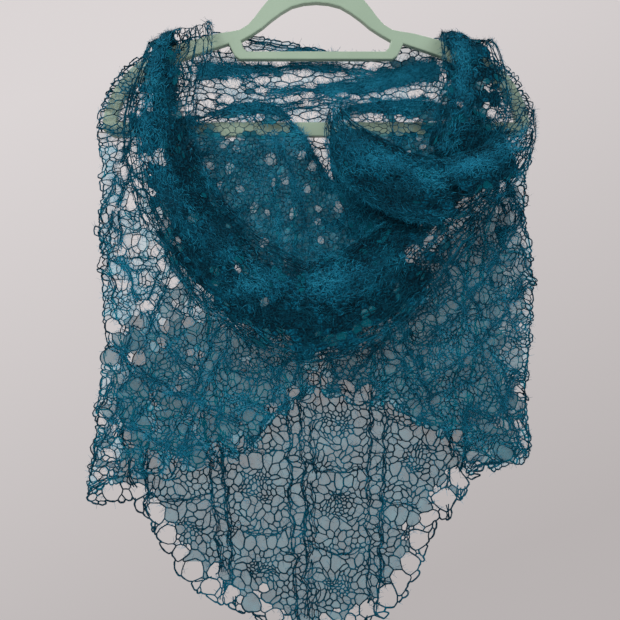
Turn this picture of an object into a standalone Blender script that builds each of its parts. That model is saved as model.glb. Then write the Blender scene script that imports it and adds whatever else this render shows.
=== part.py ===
"""A knitted lace shawl hung over a plastic clothes hanger, in metres, +Z up and the front towards -Y.

The origin is the inside of the hook's crown, where a rail carries the hanger. Tables give a place by two
distances: across, along +X from the hanger's middle, and drop, down from the origin. "out" is how far a
point stands in front of the hanger's mid-plane, towards -Y.
"""

import math

import bpy
import numpy as np
from mathutils import Vector
from mathutils.geometry import delaunay_2d_cdt

# The cloth and how it hangs
CLOTH = 0.0018                 # thickness of the knitted wall
EDGE_GAP = 0.00062             # half the distance between the middles of two walls that meet at an edge
EDGE_ROUND = 0.013             # over this width the cloth turns round the arms and the side folds
HANG_OUT = 0.0098              # how far the front and the back hang from the mid-plane
FOLD_FADE = 0.022              # folds die out over this distance from a turned edge
SCALLOP_PITCH, SCALLOP_DEPTH = 0.0235, 0.0045
CURL = math.radians(112)       # half the arc of a rolled drape's section

ARM_LEAN = 0.32                # how steeply the hanger's arms fall under the drapes that cross them

# The lace chart: a medallion between two ladders of eyelets
REPEAT_WIDE, REPEAT_TALL = 0.076, 0.080
LACE_START = (-0.0115, 0.1235)  # the central spine's place across, and the first row's drop
EYELET_SIDES = 6
FOLD_STEP, GRID_STEP = 0.026, 0.034
POINT_GAPS = (0.0011, 0.0085, 0.017)  # least distance to a chosen point: edge rows, fold rows, open grid
EYELET_MARGIN = 0.0042         # cloth left between an eyelet and an edge

# The hanger and its hook
HANGER_THICK, HANGER_BEVEL = 0.0094, 0.0012
HOOK_INNER, HOOK_WIRE = 0.020, 0.0034
HOOK_STEM_FOOT = 0.0757        # drop of the hook's lower end, just above the arch

# The cloth's turned edge: over the arm, then down the side fold to the hem's corner
LEFT_EDGE = (  # across, drop
    (-0.100, 0.1215), (-0.120, 0.1270), (-0.141, 0.1330), (-0.163, 0.1420), (-0.180, 0.1510),
    (-0.1935, 0.1620), (-0.2065, 0.1800), (-0.2140, 0.1970), (-0.2175, 0.2120), (-0.2180, 0.2270),
    (-0.2150, 0.2420), (-0.2120, 0.2720), (-0.2150, 0.3000), (-0.2160, 0.3320), (-0.2120, 0.4010),
    (-0.2105, 0.4510), (-0.2150, 0.4700), (-0.2185, 0.5110), (-0.2230, 0.5510), (-0.2300, 0.5870),
)
RIGHT_EDGE = (  # across, drop
    (0.118, 0.1265), (0.141, 0.1330), (0.163, 0.1420), (0.180, 0.1510), (0.1935, 0.1620),
    (0.2065, 0.1800), (0.2140, 0.1970), (0.2172, 0.2120), (0.2165, 0.2270), (0.2120, 0.2550),
    (0.2080, 0.2790), (0.2090, 0.3120), (0.2136, 0.3360), (0.2160, 0.3840), (0.2136, 0.4110),
    (0.2120, 0.4400), (0.2090, 0.4870), (0.2120, 0.5130), (0.2130, 0.5440),
)
NECK_EDGE = (  # across, drop: the knitting's long straight edge, slung behind the hanger
    (-0.100, 0.1215), (-0.080, 0.1215), (-0.061, 0.1240), (-0.016, 0.1320), (0.029, 0.1390),
    (0.054, 0.1400), (0.079, 0.1375), (0.100, 0.1310), (0.118, 0.1265),
)
BACK_HEM = (  # across, drop
    (-0.230, 0.5880), (-0.213, 0.5920), (-0.192, 0.5890), (-0.175, 0.6010), (-0.158, 0.6290),
    (-0.140, 0.6560), (-0.123, 0.6770), (-0.092, 0.6940), (-0.064, 0.7060), (-0.034, 0.7240),
    (-0.004, 0.7400), (0.028, 0.7280), (0.056, 0.7110), (0.074, 0.7010), (0.091, 0.6820),
    (0.104, 0.6530), (0.114, 0.6300), (0.130, 0.6040), (0.148, 0.5810), (0.158, 0.5660),
    (0.170, 0.5590), (0.186, 0.5530), (0.213, 0.5450),
)
LEFT_HEM = (  # across, drop
    (-0.2295, 0.5830), (-0.213, 0.5730), (-0.190, 0.5650), (-0.166, 0.5610), (-0.144, 0.5620),
    (-0.126, 0.5560), (-0.106, 0.5530), (-0.094, 0.5450), (-0.078, 0.5440), (-0.063, 0.5340),
    (-0.051, 0.5150), (-0.027, 0.4950), (-0.013, 0.4860), (0.0015, 0.4770),
)
RIGHT_HEM = (  # across, drop
    (0.0045, 0.4770), (0.032, 0.4870), (0.053, 0.4910), (0.073, 0.4910), (0.088, 0.5000),
    (0.099, 0.5090), (0.121, 0.5210), (0.143, 0.5350), (0.151, 0.5550), (0.164, 0.5550),
    (0.178, 0.5550), (0.190, 0.5500), (0.213, 0.5430),
)
LEFT_INNER = (  # across, drop: where the left front passes behind the lower cowl, from its seam up
    (0.0015, 0.4140), (-0.048, 0.3880), (-0.101, 0.3440), (-0.134, 0.2920), (-0.150, 0.2370),
    (-0.147, 0.1870), (-0.136, 0.1530), (-0.124, 0.1281),
)
RIGHT_INNER = (  # across, drop: the same on the right
    (0.0045, 0.4150), (0.040, 0.3980), (0.080, 0.3620), (0.118, 0.3280), (0.155, 0.2960),
    (0.178, 0.2620), (0.184, 0.2220), (0.174, 0.1850), (0.155, 0.1600), (0.130, 0.1299),
)
LEFT_LOBE = (  # across, drop: clockwise from the left end of its soft upper edge
    (-0.146, 0.2120), (-0.130, 0.2090), (-0.111, 0.2085), (-0.096, 0.2030), (-0.081, 0.1980),
    (-0.066, 0.1955), (-0.051, 0.1950), (-0.038, 0.1980), (-0.026, 0.2050), (-0.014, 0.2160),
    (-0.004, 0.2280), (0.006, 0.2420), (0.019, 0.2580), (0.036, 0.2780), (0.056, 0.2970),
    (0.066, 0.3300), (0.050, 0.3720), (0.018, 0.3940), (-0.016, 0.3940), (-0.054, 0.3740),
    (-0.094, 0.3380), (-0.126, 0.2920), (-0.146, 0.2520), (-0.152, 0.2260),
)
RIGHT_LOBE = (  # across, drop
    (0.015, 0.2200), (0.018, 0.2110), (0.029, 0.2030), (0.046, 0.1980), (0.064, 0.1960),
    (0.084, 0.1950), (0.104, 0.1950), (0.129, 0.1990), (0.154, 0.2040), (0.176, 0.2160),
    (0.182, 0.2420), (0.168, 0.2680), (0.144, 0.2920), (0.118, 0.3170), (0.088, 0.3380),
    (0.058, 0.3420), (0.036, 0.3220), (0.022, 0.2880), (0.015, 0.2560), (0.013, 0.2360),
)

# Soft ridges: a line between two places, bowed sideways at its middle, with a width and a rise
BACK_FOLDS = (  # across, drop, across, drop, bow, width, rise
    (-0.088, 0.440, -0.091, 0.700, 0.004, 0.012, 0.0050),
    (-0.012, 0.360, -0.004, 0.735, -0.005, 0.014, 0.0052),
    (0.066, 0.420, 0.068, 0.700, 0.004, 0.012, 0.0046),
    (0.148, 0.430, 0.146, 0.590, -0.003, 0.010, 0.0056),
    (-0.160, 0.440, -0.170, 0.600, 0.004, 0.014, 0.0040),
    (-0.050, 0.520, -0.048, 0.715, -0.004, 0.013, -0.0030),
    (0.030, 0.500, 0.030, 0.725, 0.003, 0.013, -0.0030),
    (-0.104, 0.152, 0.112, 0.152, -0.020, 0.007, 0.0034),
    (-0.100, 0.174, 0.116, 0.166, -0.026, 0.008, 0.0036),
    (-0.120, 0.196, 0.134, 0.182, -0.030, 0.011, 0.0030),
    (-0.150, 0.230, 0.160, 0.215, -0.040, 0.016, 0.0026),
    (0.110, 0.138, 0.020, 0.182, -0.006, 0.008, 0.0032),
    (-0.185, 0.260, -0.176, 0.560, 0.008, 0.018, 0.0034),
    (0.186, 0.260, 0.182, 0.520, -0.008, 0.018, 0.0034),
)
LEFT_FOLDS = (
    (-0.205, 0.300, -0.120, 0.470, 0.012, 0.012, 0.0048),
    (-0.208, 0.430, -0.060, 0.505, 0.014, 0.013, 0.0052),
    (-0.190, 0.215, -0.176, 0.400, 0.010, 0.011, 0.0042),
    (-0.170, 0.250, -0.110, 0.400, 0.010, 0.010, 0.0044),
    (-0.210, 0.500, -0.110, 0.540, 0.008, 0.011, 0.0040),
    (-0.090, 0.400, -0.020, 0.470, 0.008, 0.011, 0.0046),
    (-0.205, 0.350, -0.150, 0.560, 0.010, 0.012, -0.0022),
)
RIGHT_FOLDS = (
    (0.205, 0.290, 0.110, 0.430, -0.012, 0.012, 0.0048),
    (0.206, 0.370, 0.090, 0.480, -0.014, 0.013, 0.0052),
    (0.204, 0.450, 0.150, 0.540, -0.006, 0.011, 0.0050),
    (0.150, 0.330, 0.050, 0.440, -0.010, 0.012, 0.0046),
    (0.192, 0.220, 0.196, 0.330, 0.004, 0.010, 0.0034),
    (0.147, 0.470, 0.150, 0.550, 0.002, 0.007, 0.0060),
    (0.080, 0.390, 0.030, 0.470, -0.006, 0.011, 0.0040),
)
LOBE_FOLDS = (
    (-0.120, 0.225, -0.060, 0.370, 0.014, 0.012, 0.0036),
    (-0.060, 0.205, -0.010, 0.360, -0.016, 0.013, 0.0036),
    (-0.020, 0.215, 0.040, 0.320, -0.010, 0.011, 0.0034),
    (0.030, 0.215, 0.070, 0.270, 0.006, 0.011, 0.0030),
    (0.075, 0.200, 0.090, 0.280, 0.005, 0.012, 0.0030),
    (0.120, 0.205, 0.110, 0.280, -0.006, 0.012, 0.0030),
)

# Rolled drapes: the middle line of each, its half width and how far its wall bulges from that line
LOWER_COWL = (  # across, drop, out, half_width, bulge
    (-0.118, 0.170, -0.0205, 0.028, 0.004),
    (-0.123, 0.146, -0.0195, 0.029, 0.004),
    (-0.127, 0.1305, -0.0140, 0.031, 0.004),
    (-0.129, 0.1235, -0.0010, 0.032, 0.004),
    (-0.130, 0.1295, 0.0130, 0.032, 0.005),
    (-0.132, 0.1400, 0.0190, 0.031, 0.007),
    (-0.138, 0.160, 0.0230, 0.031, 0.009),
    (-0.147, 0.190, 0.0270, 0.033, 0.010),
    (-0.151, 0.232, 0.0300, 0.036, 0.011),
    (-0.137, 0.287, 0.0340, 0.038, 0.012),
    (-0.105, 0.337, 0.0390, 0.041, 0.013),
    (-0.058, 0.380, 0.0440, 0.045, 0.014),
    (-0.008, 0.402, 0.0470, 0.048, 0.014),
    (0.038, 0.388, 0.0440, 0.046, 0.012),
    (0.078, 0.356, 0.0390, 0.041, 0.010),
    (0.118, 0.322, 0.0350, 0.034, 0.008),
    (0.152, 0.294, 0.0320, 0.025, 0.006),
    (0.172, 0.276, 0.0300, 0.014, 0.004),
)
UPPER_COWL = (
    (0.211, 0.204, 0.0220, 0.008, 0.004),
    (0.203, 0.226, 0.0350, 0.016, 0.007),
    (0.182, 0.254, 0.0470, 0.023, 0.010),
    (0.150, 0.278, 0.0540, 0.028, 0.012),
    (0.112, 0.289, 0.0570, 0.031, 0.013),
    (0.076, 0.280, 0.0550, 0.031, 0.013),
    (0.042, 0.256, 0.0480, 0.027, 0.012),
    (0.019, 0.226, 0.0380, 0.018, 0.009),
    (0.011, 0.207, 0.0320, 0.009, 0.005),
)
RIGHT_SHOULDER = (
    (0.134, 0.180, -0.0205, 0.023, 0.004),
    (0.140, 0.156, -0.0195, 0.024, 0.004),
    (0.146, 0.1375, -0.0140, 0.025, 0.004),
    (0.148, 0.1300, -0.0010, 0.026, 0.004),
    (0.149, 0.1375, 0.0140, 0.028, 0.005),
    (0.151, 0.1480, 0.0210, 0.031, 0.007),
    (0.154, 0.170, 0.0270, 0.034, 0.008),
    (0.153, 0.198, 0.0320, 0.036, 0.008),
    (0.144, 0.228, 0.0340, 0.034, 0.007),
    (0.128, 0.254, 0.0330, 0.024, 0.005),
)

# The hanger, right half: its outer edge from the arch's top to the end of the arm, and its two windows
HANGER_OUTER = (  # across, drop
    (0.000, 0.0760), (0.020, 0.0775), (0.037, 0.0835), (0.049, 0.0925), (0.060, 0.1070),
    (0.071, 0.1185), (0.097, 0.1245), (0.120, 0.1305), (0.141, 0.1365), (0.163, 0.1460),
    (0.179, 0.1550), (0.191, 0.1660), (0.202, 0.1820), (0.209, 0.1980), (0.2125, 0.2120),
    (0.2105, 0.2230), (0.2030, 0.2270),
)
ARCH_INNER = (
    (0.000, 0.0940), (0.020, 0.0965), (0.038, 0.1065), (0.056, 0.1210), (0.0745, 0.1320),
)
ARM_INNER = (
    (0.0870, 0.1350), (0.111, 0.1430), (0.135, 0.1515), (0.159, 0.1620), (0.176, 0.1725),
    (0.188, 0.1850), (0.196, 0.2000), (0.1985, 0.2130),
)
CROSSBAR_TOP, CROSSBAR_FOOT, BAR_TOP, BAR_FOOT = 0.1425, 0.1505, 0.2130, 0.2270
CROSSBAR_INNER, CROSSBAR_OUTER = 0.070, 0.079

TEAL = (0.010, 0.085, 0.120, 1.0)
SAGE = (0.36, 0.50, 0.38, 1.0)


def smooth(xs, ys, at):
    """A soft curve through the points (xs, ys), read at at: cubic, each slope taken from its neighbours."""
    xs, ys = np.asarray(xs, float), np.asarray(ys, float)
    at = np.clip(np.asarray(at, float), xs[0], xs[-1])
    slopes = np.gradient(ys, xs)
    i = np.clip(np.searchsorted(xs, at, side="right") - 1, 0, len(xs) - 2)
    step = xs[i + 1] - xs[i]
    t = (at - xs[i]) / step
    start = ys[i] * (1 + 2 * t) * (1 - t) ** 2 + slopes[i] * step * t * (1 - t) ** 2
    end = ys[i + 1] * t * t * (3 - 2 * t) + slopes[i + 1] * step * t * t * (t - 1)
    return start + end


def along(rows, spacing):
    """Points spacing apart along a soft curve through the table's rows, all of its columns together."""
    rows = np.asarray(rows, float)
    lengths = np.linalg.norm(np.diff(rows[:, :3], axis=0), axis=1)
    reach = np.concatenate([[0], np.cumsum(lengths)])
    at = np.linspace(0, reach[-1], max(2, round(reach[-1] / spacing) + 1))
    return np.stack([smooth(reach, column, at) for column in rows.T], axis=1)


def through_rows(rows, spacing):
    """Points on the same soft curve, one at every row and others between them no more than spacing apart."""
    rows = np.asarray(rows, float)
    lengths = np.linalg.norm(np.diff(rows[:, :3], axis=0), axis=1)
    reach = np.concatenate([[0], np.cumsum(lengths)])
    at = [0.0]
    for start, length in zip(reach, lengths):
        parts = max(1, math.ceil(length / spacing))
        at += [start + length * (i + 1) / parts for i in range(parts)]
    return np.stack([smooth(reach, column, at) for column in rows.T], axis=1)


def closer_at_the_end(line):
    """The line with its last step cut finer, where it turns over the arm."""
    shares = np.array([0.30, 0.52, 0.70, 0.84, 0.94, 1.0])[:, None]
    return np.vstack([line[:-1], line[-2] + (line[-1] - line[-2]) * shares])


def scalloped(rows):
    """The hem as a row of shallow loops hanging below the table's line."""
    line = along(rows, SCALLOP_PITCH / 4)
    step = np.linalg.norm(np.diff(line, axis=0), axis=1)
    reach = np.concatenate([[0], np.cumsum(step)])
    loops = max(1, round(reach[-1] / SCALLOP_PITCH))
    dip = np.abs(np.sin(np.pi * loops * reach / reach[-1]))
    heading = np.gradient(line, axis=0)
    heading /= np.linalg.norm(heading, axis=1)[:, None]
    downward = np.stack([-heading[:, 1], heading[:, 0]], axis=1)
    downward *= np.sign(downward[:, 1:] + 1e-9)
    return line + downward * (SCALLOP_DEPTH * dip)[:, None]


def from_line(points, line):
    """How far each point is from a polyline, both as rows of across and drop."""
    nearest = np.full(len(points), np.inf)
    for start, end in zip(line[:-1], line[1:]):
        run = end - start
        share = np.clip(((points - start) @ run) / max(run @ run, 1e-12), 0, 1)
        nearest = np.minimum(nearest, np.linalg.norm(points - start - share[:, None] * run, axis=1))
    return nearest


def ridges(points, folds):
    """The height that a table of folds adds at each point."""
    height = np.zeros(len(points))
    for a1, d1, a2, d2, bow, width, rise in folds:
        run = np.array([a2 - a1, d2 - d1])
        reach = np.linalg.norm(run)
        run /= reach
        side = np.array([-run[1], run[0]])
        share = ((points - (a1, d1)) @ run) / reach
        bent = (points - (a1, d1)) @ side - bow * 4 * share * (1 - share)
        fade = np.clip(np.minimum(share, 1 - share) * 4, 0, 1)
        height += rise * np.exp(-(bent / width) ** 2) * fade * fade * (3 - 2 * fade)
    return height


EDGES = (along(LEFT_EDGE, 0.0095), along(RIGHT_EDGE, 0.0095))


def turned(points):
    """From 0 at a turned edge to 1 where the cloth hangs flat, and the same more slowly for its folds."""
    away = np.minimum(from_line(points, EDGES[0]), from_line(points, EDGES[1]))
    inward = 1 - np.clip(away / EDGE_ROUND, 0, 1)
    fade = np.clip(away / FOLD_FADE, 0, 1)
    return np.sqrt(1 - inward * inward), fade * fade * (3 - 2 * fade)


def back_out(points):
    """The back panel: behind the hanger, with pleats that deepen towards the hem."""
    round_edge, fade = turned(points)
    hang = (HANG_OUT - EDGE_GAP) * round_edge
    return -EDGE_GAP - hang - fade * ridges(points, BACK_FOLDS)


def front_out(points, folds):
    """A front stretch: in front of the hanger, turned round the arm and the side fold."""
    round_edge, fade = turned(points)
    hang = (HANG_OUT - EDGE_GAP) * round_edge
    return EDGE_GAP + hang + fade * ridges(points, folds)


def lobe_out(points, top, depth):
    """A slack inner stretch, standing further out as it drops into a cowl."""
    lower = np.clip((points[:, 1] - 0.195) / 0.2, 0, 1)
    return top + depth * lower + ridges(points, LOBE_FOLDS)


def eyelets(crown, turn=0.0, middle=LACE_START):
    """The largest eyelets of every repeat: (across, drop, half width, half height) of each.

    crown is how many stand side by side under a repeat's arched ridge. turn leans the columns.
    """
    found = []
    pitch = 0.0128
    for row in range(-1, 10):
        for column in range(-5, 6):
            for i in range(crown):
                off = (i - (crown - 1) / 2) * pitch
                arch = 0.0075 * math.cos(math.pi * off / REPEAT_WIDE * 1.6)
                a = (column + 0.5) * REPEAT_WIDE + off
                d = row * REPEAT_TALL + 0.020 + arch
                found.append(
                    (
                        middle[0] + a * math.cos(turn) - d * math.sin(turn),
                        middle[1] + a * math.sin(turn) + d * math.cos(turn),
                        0.0044,
                        0.0064,
                    )
                )
    return found


def inside(points, outline):
    """Whether each point lies within a closed outline."""
    x, y = points[:, 0], points[:, 1]
    odd = np.zeros(len(points), bool)
    for (x1, y1), (x2, y2) in zip(outline, np.roll(outline, -1, axis=0)):
        crosses = (y1 > y) != (y2 > y)
        odd ^= crosses & (x < (x2 - x1) * (y - y1) / (y2 - y1 + 1e-15) + x1)
    return odd


def cloth_object(name, points, faces):
    """A knitted wall: an open surface, thickened both ways."""
    mesh = bpy.data.meshes.new(name)
    mesh.from_pydata(points, [], faces)
    mesh.materials.append(YARN)
    obj = bpy.data.objects.new(name, mesh)
    SHAWL.objects.link(obj)
    wall = obj.modifiers.new("wall", "SOLIDIFY")
    wall.thickness = CLOTH
    wall.offset = 0
    mesh.shade_smooth()
    return obj


def fold_rows(folds):
    """Points along each fold's crest and down both of its sides, so that triangles follow the fold."""
    rows = []
    for a1, d1, a2, d2, bow, width, _ in folds:
        start, run = np.array([a1, d1]), np.array([a2 - a1, d2 - d1])
        reach = np.linalg.norm(run)
        run /= reach
        side = np.array([-run[1], run[0]])
        shares = np.linspace(0.06, 0.94, max(3, round(reach / FOLD_STEP)))
        for share in shares:
            crest = start + run * reach * share + side * bow * 4 * share * (1 - share)
            rows += [crest, crest + side * width * 1.5, crest - side * width * 1.5]
    return np.array(rows)


def sheet(name, outline, depth, folds, holes, edge_rows=(0.0012, 0.0042, 0.0095)):
    """A flat-hung stretch: its outline and eyelets are filled with triangles, then given their depth."""
    outline = np.asarray(outline, float)
    kept = np.array(holes or [(9, 9, 0, 0)], float)
    clear = from_line(kept[:, :2], np.vstack([outline, outline[:1]]))
    kept = kept[inside(kept[:, :2], outline) & (clear > kept[:, 3] + EYELET_MARGIN)]
    corners = [outline]
    loops = [list(range(len(outline)))]
    turn = np.arange(EYELET_SIDES) * 2 * np.pi / EYELET_SIDES + np.pi / 6
    for a, d, half_wide, half_tall in kept:
        ring = np.stack([a + half_wide * np.cos(turn), d + half_tall * np.sin(turn)], axis=1)
        first = sum(len(c) for c in corners)
        loops.append(list(range(first, first + EYELET_SIDES)))
        corners.append(ring)
    low, high = outline.min(0), outline.max(0)
    grid = [
        (a + (GRID_STEP / 2 if row % 2 else 0), d)
        for row, d in enumerate(np.arange(low[1], high[1], GRID_STEP * 0.87))
        for a in np.arange(low[0], high[0], GRID_STEP)
    ]
    fill = np.vstack([fold_rows(folds), np.array(grid)])
    ranks = np.array([1] * len(fold_rows(folds)) + [2] * len(grid))
    for inset in edge_rows:
        for edge in EDGES:
            heading = np.gradient(edge, axis=0)
            heading /= np.linalg.norm(heading, axis=1)[:, None]
            for side in (-1, 1):
                row = edge + side * inset * np.stack([-heading[:, 1], heading[:, 0]], axis=1)
                row = row[from_line(row, edge) > inset * 0.97]
                fill = np.vstack([fill, row])
                ranks = np.concatenate([ranks, np.zeros(len(row), int)])
    border = from_line(fill, np.vstack([outline, outline[:1]]))
    use = inside(fill, outline) & (border > np.array([0.0010, 0.0060, 0.0090])[ranks])
    use &= (ranks == 0) | ~by_the_edge(fill)
    for a, d, half_wide, half_tall in kept:
        use &= np.hypot((fill[:, 0] - a) / (half_wide + 0.0035), (fill[:, 1] - d) / (half_tall + 0.0035)) > 1
    chosen = []
    for rank in range(3):
        for point in fill[use & (ranks == rank)].tolist():
            if all(math.dist(point, other) > POINT_GAPS[rank] for other in chosen):
                chosen.append(tuple(point))
    points = np.vstack(corners + [np.array(chosen).reshape(-1, 2)])
    edges = [(loop[i - 1], loop[i]) for loop in loops for i in range(len(loop))]
    verts, _, faces, *_ = delaunay_2d_cdt([Vector(p) for p in points], edges, [], 1, 1e-6)
    flat = np.array([tuple(v) for v in verts])
    middles = np.array([flat[list(face)].mean(0) for face in faces])
    keep = inside(middles, outline)
    for a, d, half_wide, half_tall in kept:
        keep &= np.hypot((middles[:, 0] - a) / half_wide, (middles[:, 1] - d) / half_tall) > 0.83
    out = depth(flat)
    solid_points = np.stack([flat[:, 0], -out, -flat[:, 1]], axis=1)
    kept_faces = [tuple(face) for face, k in zip(faces, keep) if k]
    return cloth_object(name, [tuple(p) for p in solid_points], kept_faces)


def by_the_edge(points):
    """True for points in the band where the cloth turns, which has closer rows of its own."""
    return np.minimum(from_line(points, EDGES[0]), from_line(points, EDGES[1])) < 0.0125


def drape(name, rows, pleats, pleat_depth, steps_across, spacing=0.014):
    """A rolled drape: a wall bent round its middle line, open at the back, with pleats along it."""
    path = through_rows(rows, spacing)
    centres = np.stack([path[:, 0], -path[:, 2], -path[:, 1]], axis=1)
    headings = np.gradient(centres, axis=0)
    headings /= np.linalg.norm(headings, axis=1)[:, None]
    points = []
    for i, (centre, heading) in enumerate(zip(centres, headings)):
        above_arm = max(0.0, (centre[2] + 0.150) / 0.020)
        lean = math.copysign(ARM_LEAN * above_arm, centre[0])
        sideways = np.cross([lean, centre[1] / 0.012, above_arm], heading)
        sideways /= np.linalg.norm(sideways)
        outward = np.cross(heading, sideways)
        half_width, bulge = path[i, 3], path[i, 4]
        depth = pleat_depth * min(1.0, bulge / 0.010) * (0.75 + 0.25 * math.sin(0.8 * i))
        drift = 0.5 * math.sin(0.25 * i)
        for j in range(steps_across):
            turn = CURL * (2 * j / (steps_across - 1) - 1)
            lift = bulge * math.cos(turn)
            lift += depth * (0.35 + 0.65 * math.cos(0.7 * turn)) * math.cos(pleats * (turn + drift))
            points.append(centre + sideways * half_width * math.sin(turn) + outward * lift)
    faces = [
        (i * steps_across + j, i * steps_across + j + 1, (i + 1) * steps_across + j + 1, (i + 1) * steps_across + j)
        for i in range(len(centres) - 1)
        for j in range(steps_across - 1)
    ]
    return cloth_object(name, [tuple(p) for p in points], faces)


def mirrored(rows):
    """A right half and its mirror image as one closed ring of points."""
    right = [tuple(p) for p in rows]
    left = [(-a, d) for a, d in reversed(right) if a > 1e-6]
    return right + left


def flat_ring(curve, ring):
    """One closed outline of a flat curve."""
    spline = curve.splines.new("POLY")
    spline.points.add(len(ring) - 1)
    for point, (a, d) in zip(spline.points, ring):
        point.co = (a, -d, 0, 1)
    spline.use_cyclic_u = True


def hanger_frame():
    """The moulded frame: arch, arms, crossbar and bottom bar, cut from one flat outline."""
    curve = bpy.data.curves.new("hanger_frame", "CURVE")
    curve.dimensions = "2D"
    curve.fill_mode = "BOTH"
    curve.extrude = HANGER_THICK / 2 - HANGER_BEVEL
    curve.bevel_depth = HANGER_BEVEL
    curve.offset = -HANGER_BEVEL
    curve.bevel_resolution = 1
    outer = [tuple(p) for p in along(HANGER_OUTER, 0.0105)]
    flat_ring(curve, mirrored(outer))
    arch = [tuple(p) for p in along(ARCH_INNER, 0.0115)]
    corner = [(CROSSBAR_INNER + 0.0025, CROSSBAR_TOP - 0.0035), (CROSSBAR_INNER - 0.001, CROSSBAR_TOP)]
    flat_ring(curve, mirrored(arch + corner))
    arm = [tuple(p) for p in along(ARM_INNER, 0.0125)]
    post = [(CROSSBAR_OUTER - 0.003, CROSSBAR_FOOT), (CROSSBAR_OUTER + 0.002, CROSSBAR_FOOT - 0.0035)]
    flat_ring(curve, mirrored(post + arm))
    obj = bpy.data.objects.new("hanger_frame", curve)
    obj.rotation_euler = (math.pi / 2, 0, 0)
    curve.materials.append(PLASTIC)
    SHAWL.objects.link(obj)
    return obj


def hanger_hook():
    """The plain hook moulded on the arch: a stem, then most of a circle round the rail."""
    radius = HOOK_INNER + HOOK_WIRE
    start, end = math.radians(-62), math.radians(196)
    ring = [
        (radius * math.cos(t), -radius * math.sin(t) + HOOK_INNER)
        for t in np.linspace(start, end, 24)
    ]
    stem = [(0, HOOK_STEM_FOOT), (0, 0.066), (0.0004, 0.057), (0.0028, 0.0495)]
    route = along([(a, d, 0) for a, d in stem + ring], 0.0062)
    curve = bpy.data.curves.new("hanger_hook", "CURVE")
    curve.dimensions = "3D"
    curve.bevel_depth = HOOK_WIRE
    curve.bevel_resolution = 2
    curve.use_fill_caps = True
    spline = curve.splines.new("POLY")
    spline.points.add(len(route) - 1)
    for point, (a, d, _) in zip(spline.points, route):
        point.co = (a, 0, -d, 1)
    curve.materials.append(PLASTIC)
    obj = bpy.data.objects.new("hanger_hook", curve)
    SHAWL.objects.link(obj)
    return obj


def material(name, colour, roughness):
    made = bpy.data.materials.new(name)
    made.use_nodes = True
    shader = made.node_tree.nodes["Principled BSDF"]
    shader.inputs["Base Color"].default_value = colour
    shader.inputs["Roughness"].default_value = roughness
    return made


def shawl():
    """Every stretch of the knitting that shows, from the back to the front."""
    left_edge, right_edge = EDGES
    neck, back_hem = along(NECK_EDGE, 0.0055), scalloped(BACK_HEM)
    back = np.vstack([left_edge[::-1], neck[1:-1], right_edge, back_hem[::-1]])
    sheet("back_panel", back, back_out, BACK_FOLDS, eyelets(3))

    left_top = left_edge[left_edge[:, 0] < -0.126]
    left_inner = closer_at_the_end(along(LEFT_INNER, 0.015))
    left = np.vstack([left_top, scalloped(LEFT_HEM)[1:], left_inner])
    turned_left = eyelets(3, 0.42, (-0.040, 0.140))
    sheet("left_front", left, lambda p: front_out(p, LEFT_FOLDS), LEFT_FOLDS, turned_left)

    right_top = right_edge[right_edge[:, 0] > 0.132]
    right_inner = closer_at_the_end(along(RIGHT_INNER, 0.015))
    right = np.vstack([right_top, scalloped(RIGHT_HEM)[::-1][1:], right_inner])
    turned_right = eyelets(3, -0.42, (0.034, 0.150))
    sheet("right_front", right, lambda p: front_out(p, RIGHT_FOLDS), RIGHT_FOLDS, turned_right)

    left_lobe, right_lobe = along(LEFT_LOBE, 0.012), along(RIGHT_LOBE, 0.012)
    sheet("left_lobe", left_lobe, lambda p: lobe_out(p, 0.0110, 0.010), LOBE_FOLDS, eyelets(3, 0.2), ())
    sheet("right_lobe", right_lobe, lambda p: lobe_out(p, 0.0165, 0.006), LOBE_FOLDS, [], ())

    drape("lower_cowl", LOWER_COWL, 4, 0.0040, 14, 0.022)
    drape("upper_cowl", UPPER_COWL, 4, 0.0034, 13, 0.021)
    drape("right_shoulder", RIGHT_SHOULDER, 4, 0.0032, 12, 0.018)


for old in list(bpy.data.objects):
    bpy.data.objects.remove(old)
SHAWL = bpy.data.collections.new("lace_shawl_on_hanger")
bpy.context.scene.collection.children.link(SHAWL)
YARN = material("mohair_yarn", TEAL, 0.85)
PLASTIC = material("sage_plastic", SAGE, 0.45)
shawl()
hanger_frame()
hanger_hook()
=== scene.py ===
"""The looks of a mohair lace shawl on its hanger: the open net, its fibres and down, the plastic, the light.

Places on the cloth are given by two distances in metres: across, along +X from the hanger's middle, and drop,
down from the hook's crown. The net is made of real strands. Each opening of the lace is a cell with a size of
its own, charted where the knitting repeats and scattered between, and a strand runs wherever two cells meet.
"""

import math

import bpy
import numpy as np
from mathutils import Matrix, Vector
from mathutils.geometry import delaunay_2d_cdt


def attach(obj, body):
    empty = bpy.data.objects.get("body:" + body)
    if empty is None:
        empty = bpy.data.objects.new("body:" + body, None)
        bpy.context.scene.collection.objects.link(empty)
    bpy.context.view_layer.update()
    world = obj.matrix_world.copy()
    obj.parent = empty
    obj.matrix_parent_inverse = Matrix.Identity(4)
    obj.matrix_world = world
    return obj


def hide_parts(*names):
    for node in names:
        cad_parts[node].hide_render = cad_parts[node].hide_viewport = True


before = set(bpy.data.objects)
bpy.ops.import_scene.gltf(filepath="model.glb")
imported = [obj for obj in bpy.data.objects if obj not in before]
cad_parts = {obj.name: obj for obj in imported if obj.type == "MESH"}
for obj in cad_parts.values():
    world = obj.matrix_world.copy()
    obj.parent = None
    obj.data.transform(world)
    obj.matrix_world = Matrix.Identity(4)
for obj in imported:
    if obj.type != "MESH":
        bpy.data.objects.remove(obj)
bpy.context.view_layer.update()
RNG = np.random.default_rng(11)

# Camera: 620 pixels of the photograph are 620 mm at the hanger
PIXEL, PICTURE = 0.001, 620
VIEW_MIDDLE = (-0.006, 0.400)
LENS, SENSOR = 50.0, 36.0

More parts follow.
